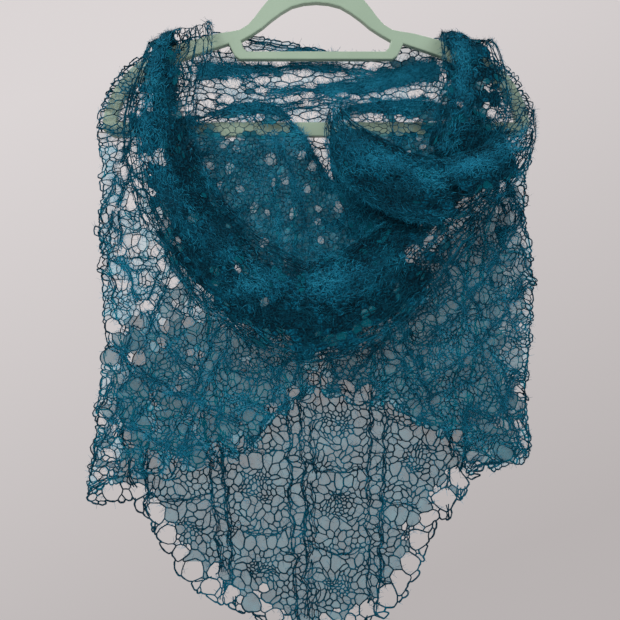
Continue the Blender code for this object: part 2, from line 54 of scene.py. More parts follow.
# The cloth and how it hangs, as in the solids
EDGE_GAP, EDGE_ROUND, HANG_OUT, FOLD_FADE = 0.00062, 0.013, 0.0098, 0.022
SCALLOP_PITCH, SCALLOP_DEPTH = 0.0235, 0.0045
CURL = math.radians(112)    # how far a roll's cloth turns away on each side of its crest
ARM_LEAN = 0.32
PLEATS, PLEAT_PITCH = 4, 0.021
RAIL_FOOT = 0.232           # below this drop nothing of the rail shows through the lobes

# The yarn
STRAND = 0.00060        # radius of a strand
STRAIGHT = 0.0040       # a longer strand is bent at its middle
SIDES = np.radians([90, 210, 330])
ROUGH = 0.0005          # how far a knot lies out of true
MATTED_UNDER = 0.0029   # a larger opening is never matted shut
CLASH = 0.80            # cells whose sizes overlap by more than this leave each other out
NECK_END, NECK_SQUAT = 0.235, 0.9
FILM_BEHIND = 0.0003

# The lace's repeat
REPEAT_WIDE, REPEAT_TALL = 0.076, 0.082
CHART_TOP = 0.1235
COLUMNS, ROWS = range(-6, 6), range(-2, 11)
RIB_RAIL, RIB_STEP = 0.0060, 0.0152
CORE_WIDE, CORE_TALL = 0.0155, 0.0140

LEFT_EDGE = (
    (-0.100, 0.1215), (-0.120, 0.1270), (-0.141, 0.1330), (-0.163, 0.1420), (-0.180, 0.1510),
    (-0.1935, 0.1620), (-0.2065, 0.1800), (-0.2140, 0.1970), (-0.2175, 0.2120), (-0.2180, 0.2270),
    (-0.2150, 0.2420), (-0.2120, 0.2720), (-0.2150, 0.3000), (-0.2160, 0.3320), (-0.2120, 0.4010),
    (-0.2105, 0.4510), (-0.2150, 0.4700), (-0.2185, 0.5110), (-0.2230, 0.5510), (-0.2300, 0.5870),
)
RIGHT_EDGE = (
    (0.118, 0.1265), (0.141, 0.1330), (0.163, 0.1420), (0.180, 0.1510), (0.1935, 0.1620),
    (0.2065, 0.1800), (0.2140, 0.1970), (0.2172, 0.2120), (0.2165, 0.2270), (0.2120, 0.2550),
    (0.2080, 0.2790), (0.2090, 0.3120), (0.2136, 0.3360), (0.2160, 0.3840), (0.2136, 0.4110),
    (0.2120, 0.4400), (0.2090, 0.4870), (0.2120, 0.5130), (0.2130, 0.5440),
)
NECK_EDGE = (
    (-0.100, 0.1215), (-0.080, 0.1215), (-0.061, 0.1240), (-0.016, 0.1320), (0.029, 0.1390),
    (0.054, 0.1400), (0.079, 0.1375), (0.100, 0.1310), (0.118, 0.1265),
)
BACK_HEM = (
    (-0.230, 0.5880), (-0.213, 0.5920), (-0.192, 0.5890), (-0.175, 0.6010), (-0.158, 0.6290),
    (-0.140, 0.6560), (-0.123, 0.6770), (-0.092, 0.6940), (-0.064, 0.7060), (-0.034, 0.7240),
    (-0.004, 0.7400), (0.028, 0.7280), (0.056, 0.7110), (0.074, 0.7010), (0.091, 0.6820),
    (0.104, 0.6530), (0.114, 0.6300), (0.130, 0.6040), (0.148, 0.5810), (0.158, 0.5660),
    (0.170, 0.5590), (0.186, 0.5530), (0.213, 0.5450),
)
LEFT_HEM = (
    (-0.2295, 0.5830), (-0.213, 0.5730), (-0.190, 0.5650), (-0.166, 0.5610), (-0.144, 0.5620),
    (-0.126, 0.5560), (-0.106, 0.5530), (-0.094, 0.5450), (-0.078, 0.5440), (-0.063, 0.5340),
    (-0.051, 0.5150), (-0.027, 0.4950), (-0.013, 0.4860), (0.0015, 0.4770),
)
RIGHT_HEM = (
    (0.0045, 0.4770), (0.032, 0.4870), (0.053, 0.4910), (0.073, 0.4910), (0.088, 0.5000),
    (0.099, 0.5090), (0.121, 0.5210), (0.143, 0.5350), (0.151, 0.5550), (0.164, 0.5550),
    (0.178, 0.5550), (0.190, 0.5500), (0.213, 0.5430),
)
LEFT_INNER = (
    (0.0015, 0.4140), (-0.048, 0.3880), (-0.101, 0.3440), (-0.134, 0.2920), (-0.150, 0.2370),
    (-0.147, 0.1870), (-0.136, 0.1530), (-0.124, 0.1281),
)
RIGHT_INNER = (
    (0.0045, 0.4150), (0.040, 0.3980), (0.080, 0.3620), (0.118, 0.3280), (0.155, 0.2960),
    (0.178, 0.2620), (0.184, 0.2220), (0.174, 0.1850), (0.155, 0.1600), (0.130, 0.1299),
)
LEFT_LOBE = (
    (-0.146, 0.2120), (-0.130, 0.2090), (-0.111, 0.2085), (-0.096, 0.2030), (-0.081, 0.1980),
    (-0.066, 0.1955), (-0.051, 0.1955), (-0.039, 0.1990), (-0.030, 0.2060), (-0.021, 0.2160),
    (-0.012, 0.2280), (-0.004, 0.2420), (0.006, 0.2600), (0.024, 0.2800), (0.052, 0.2970),
    (0.066, 0.3300), (0.050, 0.3720), (0.018, 0.3940), (-0.016, 0.3940), (-0.054, 0.3740),
    (-0.094, 0.3380), (-0.126, 0.2920), (-0.146, 0.2520), (-0.152, 0.2260),
)
RIGHT_LOBE = (
    (0.015, 0.2200), (0.018, 0.2110), (0.029, 0.2030), (0.046, 0.1980), (0.064, 0.1960),
    (0.084, 0.1950), (0.104, 0.1950), (0.129, 0.1990), (0.154, 0.2040), (0.176, 0.2160),
    (0.182, 0.2420), (0.168, 0.2680), (0.144, 0.2920), (0.118, 0.3170), (0.088, 0.3380),
    (0.058, 0.3420), (0.036, 0.3220), (0.022, 0.2880), (0.015, 0.2560), (0.013, 0.2360),
)
BACK_FOLDS = (  # across, drop, across, drop, bow, width, rise
    (-0.088, 0.440, -0.091, 0.700, 0.004, 0.012, 0.0050),
    (-0.012, 0.360, -0.004, 0.735, -0.005, 0.014, 0.0052),
    (0.066, 0.420, 0.068, 0.700, 0.004, 0.012, 0.0046),
    (0.148, 0.430, 0.146, 0.590, -0.003, 0.010, 0.0056),
    (-0.160, 0.440, -0.170, 0.600, 0.004, 0.014, 0.0040),
    (-0.050, 0.520, -0.048, 0.715, -0.004, 0.013, -0.0030),
    (0.030, 0.500, 0.030, 0.725, 0.003, 0.013, -0.0030),
    (-0.104, 0.152, 0.112, 0.152, -0.020, 0.007, 0.0034),
    (-0.100, 0.174, 0.116, 0.166, -0.026, 0.008, 0.0036),
    (-0.120, 0.196, 0.134, 0.182, -0.030, 0.011, 0.0030),
    (-0.150, 0.230, 0.160, 0.215, -0.040, 0.016, 0.0026),
    (0.110, 0.138, 0.020, 0.182, -0.006, 0.008, 0.0032),
    (-0.185, 0.260, -0.176, 0.560, 0.008, 0.018, 0.0034),
    (0.186, 0.260, 0.182, 0.520, -0.008, 0.018, 0.0034),
)
LEFT_FOLDS = (
    (-0.205, 0.300, -0.120, 0.470, 0.012, 0.012, 0.0048),
    (-0.208, 0.430, -0.060, 0.505, 0.014, 0.013, 0.0052),
    (-0.190, 0.215, -0.176, 0.400, 0.010, 0.011, 0.0042),
    (-0.170, 0.250, -0.110, 0.400, 0.010, 0.010, 0.0044),
    (-0.210, 0.500, -0.110, 0.540, 0.008, 0.011, 0.0040),
    (-0.090, 0.400, -0.020, 0.470, 0.008, 0.011, 0.0046),
    (-0.205, 0.350, -0.150, 0.560, 0.010, 0.012, -0.0022),
)
RIGHT_FOLDS = (
    (0.205, 0.290, 0.110, 0.430, -0.012, 0.012, 0.0048),
    (0.206, 0.370, 0.090, 0.480, -0.014, 0.013, 0.0052),
    (0.204, 0.450, 0.150, 0.540, -0.006, 0.011, 0.0050),
    (0.150, 0.330, 0.050, 0.440, -0.010, 0.012, 0.0046),
    (0.192, 0.220, 0.196, 0.330, 0.004, 0.010, 0.0034),
    (0.147, 0.470, 0.150, 0.550, 0.002, 0.007, 0.0060),
    (0.080, 0.390, 0.030, 0.470, -0.006, 0.011, 0.0040),
)
LOBE_FOLDS = (
    (-0.120, 0.225, -0.060, 0.370, 0.014, 0.012, 0.0036),
    (-0.060, 0.205, -0.010, 0.360, -0.016, 0.013, 0.0036),
    (-0.020, 0.215, 0.040, 0.320, -0.010, 0.011, 0.0034),
    (0.030, 0.215, 0.070, 0.270, 0.006, 0.011, 0.0030),
    (0.075, 0.200, 0.090, 0.280, 0.005, 0.012, 0.0030),
    (0.120, 0.205, 0.110, 0.280, -0.006, 0.012, 0.0030),
)
LOWER_COWL = (  # across, drop, out, half_width, bulge
    (-0.118, 0.170, -0.0205, 0.028, 0.004),
    (-0.124, 0.146, -0.0195, 0.027, 0.004),
    (-0.129, 0.1305, -0.0140, 0.028, 0.004),
    (-0.131, 0.1235, -0.0010, 0.029, 0.004),
    (-0.132, 0.1295, 0.0130, 0.030, 0.005),
    (-0.132, 0.1400, 0.0190, 0.031, 0.007),
    (-0.138, 0.160, 0.0230, 0.031, 0.009),
    (-0.147, 0.190, 0.0270, 0.033, 0.010),
    (-0.151, 0.232, 0.0300, 0.036, 0.011),
    (-0.137, 0.287, 0.0340, 0.038, 0.012),
    (-0.105, 0.337, 0.0390, 0.041, 0.013),
    (-0.058, 0.380, 0.0440, 0.045, 0.014),
    (-0.008, 0.402, 0.0470, 0.048, 0.014),
    (0.038, 0.388, 0.0440, 0.046, 0.012),
    (0.078, 0.356, 0.0390, 0.041, 0.010),
    (0.118, 0.322, 0.0350, 0.034, 0.008),
    (0.152, 0.294, 0.0320, 0.025, 0.006),
    (0.172, 0.276, 0.0300, 0.014, 0.004),
)
UPPER_COWL = (
    (0.208, 0.204, 0.0220, 0.005, 0.004),
    (0.200, 0.226, 0.0350, 0.011, 0.007),
    (0.182, 0.254, 0.0470, 0.020, 0.010),
    (0.150, 0.278, 0.0540, 0.028, 0.012),
    (0.112, 0.289, 0.0570, 0.031, 0.013),
    (0.076, 0.280, 0.0550, 0.031, 0.013),
    (0.042, 0.256, 0.0480, 0.027, 0.012),
    (0.022, 0.226, 0.0380, 0.015, 0.009),
    (0.018, 0.207, 0.0320, 0.006, 0.005),
)
RIGHT_SHOULDER = (
    (0.134, 0.180, -0.0205, 0.023, 0.004),
    (0.140, 0.156, -0.0195, 0.024, 0.004),
    (0.144, 0.1375, -0.0140, 0.022, 0.004),
    (0.146, 0.1300, -0.0010, 0.022, 0.004),
    (0.147, 0.1375, 0.0140, 0.025, 0.005),
    (0.150, 0.1480, 0.0210, 0.027, 0.007),
    (0.152, 0.170, 0.0270, 0.031, 0.008),
    (0.153, 0.198, 0.0320, 0.035, 0.008),
    (0.144, 0.228, 0.0340, 0.034, 0.007),
    (0.128, 0.254, 0.0330, 0.024, 0.005),
)

THICK = (  # across, drop, half width, half height, share: where the rolled cloth is matted or gathered thick
    (-0.152, 0.145, 0.012, 0.050, 0.95),
    (-0.148, 0.182, 0.017, 0.030, 0.95),
    (-0.150, 0.222, 0.026, 0.036, 0.95),
    (-0.131, 0.285, 0.030, 0.045, 0.95),
    (-0.101, 0.340, 0.034, 0.038, 0.95),
    (-0.061, 0.385, 0.045, 0.030, 0.90),
    (-0.006, 0.405, 0.055, 0.035, 0.92),
    (0.054, 0.372, 0.055, 0.050, 0.92),
    (0.074, 0.290, 0.055, 0.060, 0.95),
    (0.148, 0.254, 0.046, 0.036, 0.95),
    (0.144, 0.170, 0.024, 0.060, 0.92),
    (0.034, 0.255, 0.025, 0.050, 0.90),
    (0.190, 0.224, 0.014, 0.022, 0.75),
    (0.018, 0.216, 0.018, 0.024, 0.95),
)
SHEER = (  # where the rail or the wall shows through
    (0.212, 0.214, 0.017, 0.034, 1.00),
    (0.197, 0.168, 0.013, 0.050, 0.95),
    (-0.106, 0.148, 0.026, 0.040, 1.00),
    (0.122, 0.165, 0.014, 0.022, 1.00),
    (-0.076, 0.219, 0.056, 0.012, 0.92),
    (0.062, 0.219, 0.052, 0.011, 0.90),
    (0.188, 0.217, 0.026, 0.012, 0.85),
)
# Painted shade: matted cells in these hollows get the darker felt, and fewer fibres there get the brighter
# colour.
HOLLOWS = (  # where the folds lie deepest and dark
    (-0.124, 0.270, 0.013, 0.040, 0.80),
    (-0.096, 0.328, 0.022, 0.022, 0.70),
    (-0.050, 0.362, 0.034, 0.012, 0.70),
    (0.074, 0.355, 0.045, 0.032, 0.75),
    (0.066, 0.292, 0.030, 0.022, 0.60),
    (0.149, 0.238, 0.022, 0.016, 0.80),
    (0.040, 0.232, 0.022, 0.012, 0.60),
    (-0.040, 0.408, 0.080, 0.008, 0.60),
)
# Painted highlight: more fibres on these crests get the brighter colour, and less painted shade falls on them.
CRESTS = (  # where they stand out and the down catches the light
    (-0.156, 0.150, 0.010, 0.040, 0.35),
    (-0.154, 0.230, 0.014, 0.050, 0.45),
    (-0.062, 0.378, 0.026, 0.018, 0.90),
    (0.012, 0.362, 0.022, 0.026, 0.80),
    (0.022, 0.250, 0.018, 0.014, 0.70),
    (0.052, 0.266, 0.026, 0.009, 0.80),
    (0.094, 0.284, 0.030, 0.008, 0.80),
    (0.145, 0.268, 0.030, 0.009, 0.60),
    (0.180, 0.246, 0.016, 0.012, 0.45),
    (0.144, 0.165, 0.018, 0.040, 0.20),
    (-0.030, 0.230, 0.030, 0.012, 0.60),
)
LEFT_THICK = (  # the same for the fronts and the back: where they lie in thick folds
    (-0.060, 0.480, 0.120, 0.060, 0.30),
    (-0.030, 0.442, 0.045, 0.022, 0.45),
)
RIGHT_THICK = (
    (0.100, 0.430, 0.130, 0.130, 0.25),
    (0.094, 0.440, 0.021, 0.026, 0.75),
    (0.172, 0.355, 0.020, 0.026, 0.50),
    (0.135, 0.420, 0.030, 0.030, 0.35),
    (0.188, 0.300, 0.030, 0.080, 0.55),
    (0.174, 0.195, 0.015, 0.040, 0.85),
)
BACK_THICK = (
    (0.105, 0.157, 0.024, 0.011, 0.95),
    (0.078, 0.165, 0.028, 0.009, 0.95),
    (0.045, 0.173, 0.028, 0.006, 0.85),
    (0.016, 0.178, 0.026, 0.005, 0.75),
    (-0.104, 0.158, 0.022, 0.008, 0.70),
    (-0.070, 0.157, 0.040, 0.005, 0.60),
    (0.000, 0.156, 0.045, 0.004, 0.50),
    (0.070, 0.194, 0.045, 0.006, 0.70),
    (-0.060, 0.180, 0.030, 0.005, 0.40),
    (0.010, 0.138, 0.050, 0.004, 0.60),
)
NECK_BANDS = (  # yarns, spread and a line of across and drop: the gathers behind the neck
    (12, 0.0048, (
        (-0.119, 0.152), (-0.066, 0.157), (-0.014, 0.152), (0.024, 0.156), (0.080, 0.160), (0.121, 0.150),
    )),
    (11, 0.0056, (
        (-0.119, 0.157), (-0.086, 0.163), (-0.051, 0.178), (-0.011, 0.177), (0.026, 0.175), (0.121, 0.156),
    )),
    (9, 0.0052, ((-0.112, 0.188), (-0.050, 0.196), (0.010, 0.190), (0.070, 0.194), (0.120, 0.184))),
    (9, 0.0060, ((0.020, 0.186), (0.050, 0.176), (0.086, 0.168), (0.121, 0.162))),
    (8, 0.0032, ((-0.070, 0.127), (-0.016, 0.1350), (0.029, 0.1415), (0.079, 0.1400))),
)
LEFT_HOLES = (  # across, drop, half width, half height: the lobes' largest openings
    (-0.044, 0.252, 0.0052, 0.0062),
    (-0.014, 0.250, 0.0042, 0.0052),
    (-0.003, 0.260, 0.0034, 0.0042),
    (-0.086, 0.260, 0.0052, 0.0052),
    (-0.024, 0.305, 0.0060, 0.0052),
    (-0.009, 0.282, 0.0038, 0.0050),
    (-0.091, 0.235, 0.0050, 0.0068),
    (-0.086, 0.317, 0.0060, 0.0068),
    (-0.051, 0.335, 0.0060, 0.0060),
    (-0.076, 0.282, 0.0048, 0.0050),
    (-0.060, 0.298, 0.0044, 0.0052),
    (-0.112, 0.226, 0.0040, 0.0050),
    (-0.070, 0.216, 0.0042, 0.0046),
    (0.020, 0.300, 0.0042, 0.0050),
    (-0.030, 0.272, 0.0040, 0.0046),
)
RIGHT_HOLES = (
    (0.062, 0.216, 0.0042, 0.0046),
    (0.094, 0.222, 0.0046, 0.0050),
    (0.126, 0.216, 0.0044, 0.0046),
    (0.148, 0.236, 0.0040, 0.0046),
    (0.040, 0.236, 0.0036, 0.0044),
)

WING_HOLES = (  # the eyelets that lie over one another in the front and the back, so that the wall shows
    (-0.198, 0.372, 0.0062, 0.0070), (-0.186, 0.377, 0.0052, 0.0068), (-0.170, 0.396, 0.0056, 0.0062),
    (-0.178, 0.410, 0.0052, 0.0056), (-0.203, 0.416, 0.0042, 0.0078), (-0.179, 0.424, 0.0048, 0.0050),
    (-0.203, 0.447, 0.0046, 0.0058), (-0.177, 0.448, 0.0056, 0.0062), (-0.196, 0.470, 0.0058, 0.0070),
    (-0.180, 0.476, 0.0050, 0.0056), (-0.191, 0.484, 0.0044, 0.0050), (-0.171, 0.512, 0.0068, 0.0064),
    (-0.177, 0.526, 0.0058, 0.0052), (-0.150, 0.504, 0.0052, 0.0050), (-0.126, 0.412, 0.0046, 0.0082),
    (-0.124, 0.428, 0.0048, 0.0070), (-0.111, 0.438, 0.0042, 0.0050), (-0.152, 0.432, 0.0036, 0.0072),
    (-0.107, 0.455, 0.0038, 0.0062), (-0.152, 0.355, 0.0050, 0.0064), (-0.142, 0.372, 0.0050, 0.0062),
    (-0.193, 0.342, 0.0052, 0.0074), (-0.180, 0.330, 0.0050, 0.0072), (-0.197, 0.300, 0.0046, 0.0066),
    (-0.183, 0.290, 0.0052, 0.0078), (-0.170, 0.312, 0.0050, 0.0078), (-0.192, 0.262, 0.0056, 0.0060),
    (-0.178, 0.254, 0.0060, 0.0084), (-0.165, 0.275, 0.0044, 0.0078), (-0.204, 0.545, 0.0060, 0.0048),
    (-0.200, 0.232, 0.0040, 0.0050), (-0.160, 0.340, 0.0040, 0.0060), (-0.092, 0.520, 0.0052, 0.0048),
    (-0.068, 0.505, 0.0060, 0.0044), (-0.088, 0.500, 0.0044, 0.0050), (-0.120, 0.498, 0.0044, 0.0044),
    (0.190, 0.310, 0.0040, 0.0050), (0.198, 0.330, 0.0042, 0.0056), (0.186, 0.345, 0.0038, 0.0048),
    (0.196, 0.362, 0.0040, 0.0054), (0.202, 0.395, 0.0042, 0.0048), (0.190, 0.418, 0.0040, 0.0050),
    (0.198, 0.452, 0.0044, 0.0056), (0.182, 0.470, 0.0042, 0.0050), (0.196, 0.492, 0.0044, 0.0052),
    (0.184, 0.512, 0.0046, 0.0060), (0.158, 0.480, 0.0042, 0.0050), (0.176, 0.300, 0.0036, 0.0050),
    (0.160, 0.350, 0.0036, 0.0044), (0.165, 0.387, 0.0040, 0.0058), (0.167, 0.402, 0.0044, 0.0056),
    (0.168, 0.416, 0.0042, 0.0056), (0.172, 0.431, 0.0040, 0.0050), (0.150, 0.450, 0.0048, 0.0042),
    (0.112, 0.466, 0.0044, 0.0036), (0.074, 0.443, 0.0038, 0.0056), (0.073, 0.459, 0.0038, 0.0054),
    (0.062, 0.428, 0.0036, 0.0048), (0.105, 0.502, 0.0058, 0.0044), (0.120, 0.491, 0.0056, 0.0042),
    (0.171, 0.518, 0.0054, 0.0058), (0.176, 0.543, 0.0062, 0.0058), (0.034, 0.476, 0.0056, 0.0042),
    (0.014, 0.467, 0.0060, 0.0048), (0.093, 0.353, 0.0044, 0.0050), (0.120, 0.440, 0.0036, 0.0044),
)

EYELETS = np.array(WING_HOLES) * [1, 1, 1.22, 1.16]

# Where the repeats of each column of the lace begin, as a share of a repeat
COLUMN_PHASE = (0.30, 0.62, 0.88, 0.12, 0.55, 0.78, 0.20, 0.10, 0.26, 0.70, 0.40)


def unit(vectors, least=0.0):
    """The vectors at length 1. least keeps one of no length from a division by nothing."""
    return vectors / (np.linalg.norm(vectors, axis=1)[:, None] + least)


def closed(outline):
    """The outline with its first point again at its end."""
    return np.vstack([outline, outline[:1]])


def size_of(cells):
    """The mean of each cell's half width and half height."""
    return cells[:, 2:].mean(axis=1)


def smooth(xs, ys, at):
    """A soft curve through the points (xs, ys), read at at: cubic, each slope taken from its neighbours."""
    xs, ys = np.asarray(xs, float), np.asarray(ys, float)
    at = np.clip(np.asarray(at, float), xs[0], xs[-1])
    slopes = np.gradient(ys, xs)
    i = np.clip(np.searchsorted(xs, at, side="right") - 1, 0, len(xs) - 2)
    step = xs[i + 1] - xs[i]
    t = (at - xs[i]) / step
    start = ys[i] * (1 + 2 * t) * (1 - t) ** 2 + slopes[i] * step * t * (1 - t) ** 2
    end = ys[i + 1] * t * t * (3 - 2 * t) + slopes[i + 1] * step * t * t * (t - 1)
    return start + end


def reach_of(line):
    """The distance along a line to each of its points."""
    return np.concatenate([[0], np.cumsum(np.linalg.norm(np.diff(line, axis=0), axis=1))])


def along(rows, spacing):
    """Points spacing apart along a soft curve through the table's rows, all of its columns together."""
    rows = np.asarray(rows, float)
    reach = reach_of(rows[:, :3])
    at = np.linspace(0, reach[-1], max(2, round(reach[-1] / spacing) + 1))
    return np.stack([smooth(reach, column, at) for column in rows.T], axis=1)


def headings_of(line):
    """The unit direction of a line at each of its points."""
    return unit(np.gradient(line, axis=0))


def downward_of(line):
    """The unit direction square to a line at each of its points, towards its lower side."""
    heading = headings_of(line)
    downward = np.stack([-heading[:, 1], heading[:, 0]], axis=1)
    return downward * np.sign(downward[:, 1:] + 1e-9)


def scalloped(rows):
    """The hem as a row of shallow loops hanging below the table's line."""
    line = along(rows, SCALLOP_PITCH / 6)
    reach = reach_of(line)
    loops = max(1, round(reach[-1] / SCALLOP_PITCH))
    dip = np.abs(np.sin(np.pi * loops * reach / reach[-1]))
    return line + downward_of(line) * (SCALLOP_DEPTH * dip)[:, None]


def from_line(points, line):
    """How far each point is from a polyline, both as rows of across and drop."""
    nearest = np.full(len(points), np.inf)
    for start, end in zip(line[:-1], line[1:]):
        run = end - start
        share = np.clip(((points - start) @ run) / max(run @ run, 1e-12), 0, 1)
        away = points - start - share[:, None] * run
        nearest = np.minimum(nearest, (away * away).sum(1))
    return np.sqrt(nearest)


def inside(points, outline):
    """Whether each point lies within a closed outline."""
    x, y = points[:, 0], points[:, 1]
    odd = np.zeros(len(points), bool)
    for (x1, y1), (x2, y2) in zip(outline, np.roll(outline, -1, axis=0)):
        crosses = (y1 > y) != (y2 > y)
        odd ^= crosses & (x < (x2 - x1) * (y - y1) / (y2 - y1 + 1e-15) + x1)
    return odd


def ridges(points, folds):
    """The height that a table of folds adds at each point."""
    height = np.zeros(len(points))
    for a1, d1, a2, d2, bow, width, rise in folds:
        run = np.array([a2 - a1, d2 - d1])
        reach = np.linalg.norm(run)
        run /= reach
        side = np.array([-run[1], run[0]])
        share = ((points - (a1, d1)) @ run) / reach
        bent = (points - (a1, d1)) @ side - bow * 4 * share * (1 - share)
        fade = np.clip(np.minimum(share, 1 - share) * 4, 0, 1)
        height += rise * np.exp(-((bent / width) ** 2)) * fade * fade * (3 - 2 * fade)
    return height


EDGES = (along(LEFT_EDGE, 0.0095), along(RIGHT_EDGE, 0.0095))


def turned(points):
    """From 0 at a turned edge to 1 where the cloth hangs flat, and the same more slowly for its folds."""
    away = np.minimum(from_line(points, EDGES[0]), from_line(points, EDGES[1]))
    inward = 1 - np.clip(away / EDGE_ROUND, 0, 1)
    fade = np.clip(away / FOLD_FADE, 0, 1)
    return np.sqrt(1 - inward * inward), fade * fade * (3 - 2 * fade)


def ripple(points, size, seed):
    """A slow, uneven up and down between -1 and 1 over the cloth, from a few crossing waves."""
    waves = np.random.default_rng(seed)
    height = np.zeros(len(points))
    for _ in range(5):
        turn, phase = waves.uniform(0, math.pi), waves.uniform(0, 6.28)
        pitch = size * waves.uniform(0.7, 1.6)
        height += np.sin((points @ [math.cos(turn), math.sin(turn)]) * 6.28 / pitch + phase)
    return height / 5


def back_out(points):
    round_edge, fade = turned(points)
    hang = (HANG_OUT - EDGE_GAP) * round_edge
    return -EDGE_GAP - hang - fade * (ridges(points, BACK_FOLDS) + 0.0008 * ripple(points, 0.05, 1))


def front_out(points, folds, seed):
    round_edge, fade = turned(points)
    hang = (HANG_OUT - EDGE_GAP) * round_edge
    return EDGE_GAP + hang + fade * (ridges(points, folds) + 0.0009 * ripple(points, 0.04, seed))


def lobe_out(points, top, depth, seed):
    lower = np.clip((points[:, 1] - 0.195) / 0.2, 0, 1)
    return top + depth * lower + ridges(points, LOBE_FOLDS) + 0.0007 * ripple(points, 0.03, seed)


def hung(depth):
    """For a flat-hung stretch: where a point of the cloth is in the scene, and the way it faces."""

    def place(points, lift):
        step = 0.0006
        out = depth(points)
        slope_a = (depth(points + [step, 0]) - out) / step
        slope_d = (depth(points + [0, step]) - out) / step
        slope_a, slope_d = np.clip(slope_a, -1.5, 1.5), np.clip(slope_d, -1.5, 1.5)
        facing = unit(np.stack([-slope_a, -np.ones(len(points)), slope_d], axis=1))
        xyz = np.stack([points[:, 0], -out, -points[:, 1]], axis=1)
        return xyz + facing * np.broadcast_to(lift, len(points))[:, None], facing

    return place


def rolled(rows, half_arc, pleat_depth):
    """For a rolled drape, whose points run along the drape and across the roll: where they are and face, the
    drape's length, and its half width along it."""
    path = along(rows, 0.004)
    centres = np.stack([path[:, 0], -path[:, 2], -path[:, 1]], axis=1)
    reach, headings = reach_of(path[:, :3]), headings_of(centres)

    def read(column, at):
        return np.interp(at, reach, column)

    def place(points, lift):
        at, turn = points[:, 0], CURL * points[:, 1] / half_arc
        centre = np.stack([read(c, at) for c in centres.T], axis=1)
        heading = unit(np.stack([read(c, at) for c in headings.T], axis=1))
        half_width, bulge = read(path[:, 3], at), read(path[:, 4], at)
        above = np.maximum(0.0, (centre[:, 2] + 0.150) / 0.020)
        lean = np.copysign(ARM_LEAN * above, centre[:, 0])
        sideways = unit(np.cross(np.stack([lean, centre[:, 1] / 0.012, above], axis=1), heading))
        outward = np.cross(heading, sideways)
        rows_along = at / PLEAT_PITCH
        depth = pleat_depth * np.minimum(1.0, bulge / 0.010) * (0.75 + 0.25 * np.sin(0.8 * rows_along))
        drift = 0.5 * np.sin(0.25 * rows_along)
        rise = bulge * np.cos(turn)
        rise += depth * (0.35 + 0.65 * np.cos(0.7 * turn)) * np.cos(PLEATS * (turn + drift))
        rise += 0.0011 * np.sin(11 * turn + 2.2 * np.sin(at / 0.035)) * np.minimum(1.0, bulge / 0.008)
        rise += lift
        xyz = centre + sideways * (half_width * np.sin(turn))[:, None] + outward * rise[:, None]
        facing = outward * np.cos(turn * 0.6)[:, None] + sideways * np.sin(turn * 0.6)[:, None]
        return xyz, facing

    return place, reach[-1], lambda at: read(path[:, 3], at)


def scatter(cells, outline, size_at, tries):
    """Adds cells between the charted ones, as close as their sizes let them lie. A cell is
    (across, drop, half width, half height)."""
    points = RNG.uniform(outline.min(0), outline.max(0), (tries, 2))
    points = points[inside(points, outline)]
    wide, tall = size_at(points)
    clear = from_line(points, closed(outline)) > 0.55 * np.minimum(wide, tall)
    pitch = 0.007
    shelf = {}
    kept = []

    def put(cell):
        kept.append(cell)
        shelf.setdefault((int(cell[0] // pitch), int(cell[1] // pitch)), []).append(cell)

    def crowded(a, d, w, h):
        i, j = int(a // pitch), int(d // pitch)
        for p in range(i - 2, i + 3):
            for q in range(j - 2, j + 3):
                for a2, d2, w2, h2 in shelf.get((p, q), ()):
                    x, y = (a - a2) / (w + w2), (d - d2) / (h + h2)
                    if x * x + y * y < 0.86:
                        return True
        return False

    for cell in cells:
        put(tuple(cell))
    for cell in np.column_stack([points, wide, tall])[clear].tolist():
        if not crowded(*cell):
            put(tuple(cell))
    return np.array(kept)


def rim(outline, outside=0.0016, spacing=0.0042):
    """Small cells just outside an outline, which the edge's own strand runs along."""
    border = closed(outline)
    reach = reach_of(border)
    at = np.linspace(0, reach[-1], max(8, round(reach[-1] / spacing)), endpoint=False)
    line = np.stack([np.interp(at, reach, c) for c in border.T], axis=1)
    ahead = np.stack([np.interp((at + 0.001) % reach[-1], reach, c) for c in border.T], axis=1)
    run = unit(ahead - line, 1e-12)
    side = np.stack([-run[:, 1], run[:, 0]], axis=1)
    wrong = inside(line + side * 0.0008, outline)
    side[wrong] *= -1
    points = line + side * outside
    points = points[~inside(points, outline)]
    return np.hstack([points, np.full((len(points), 2), 0.0012)])


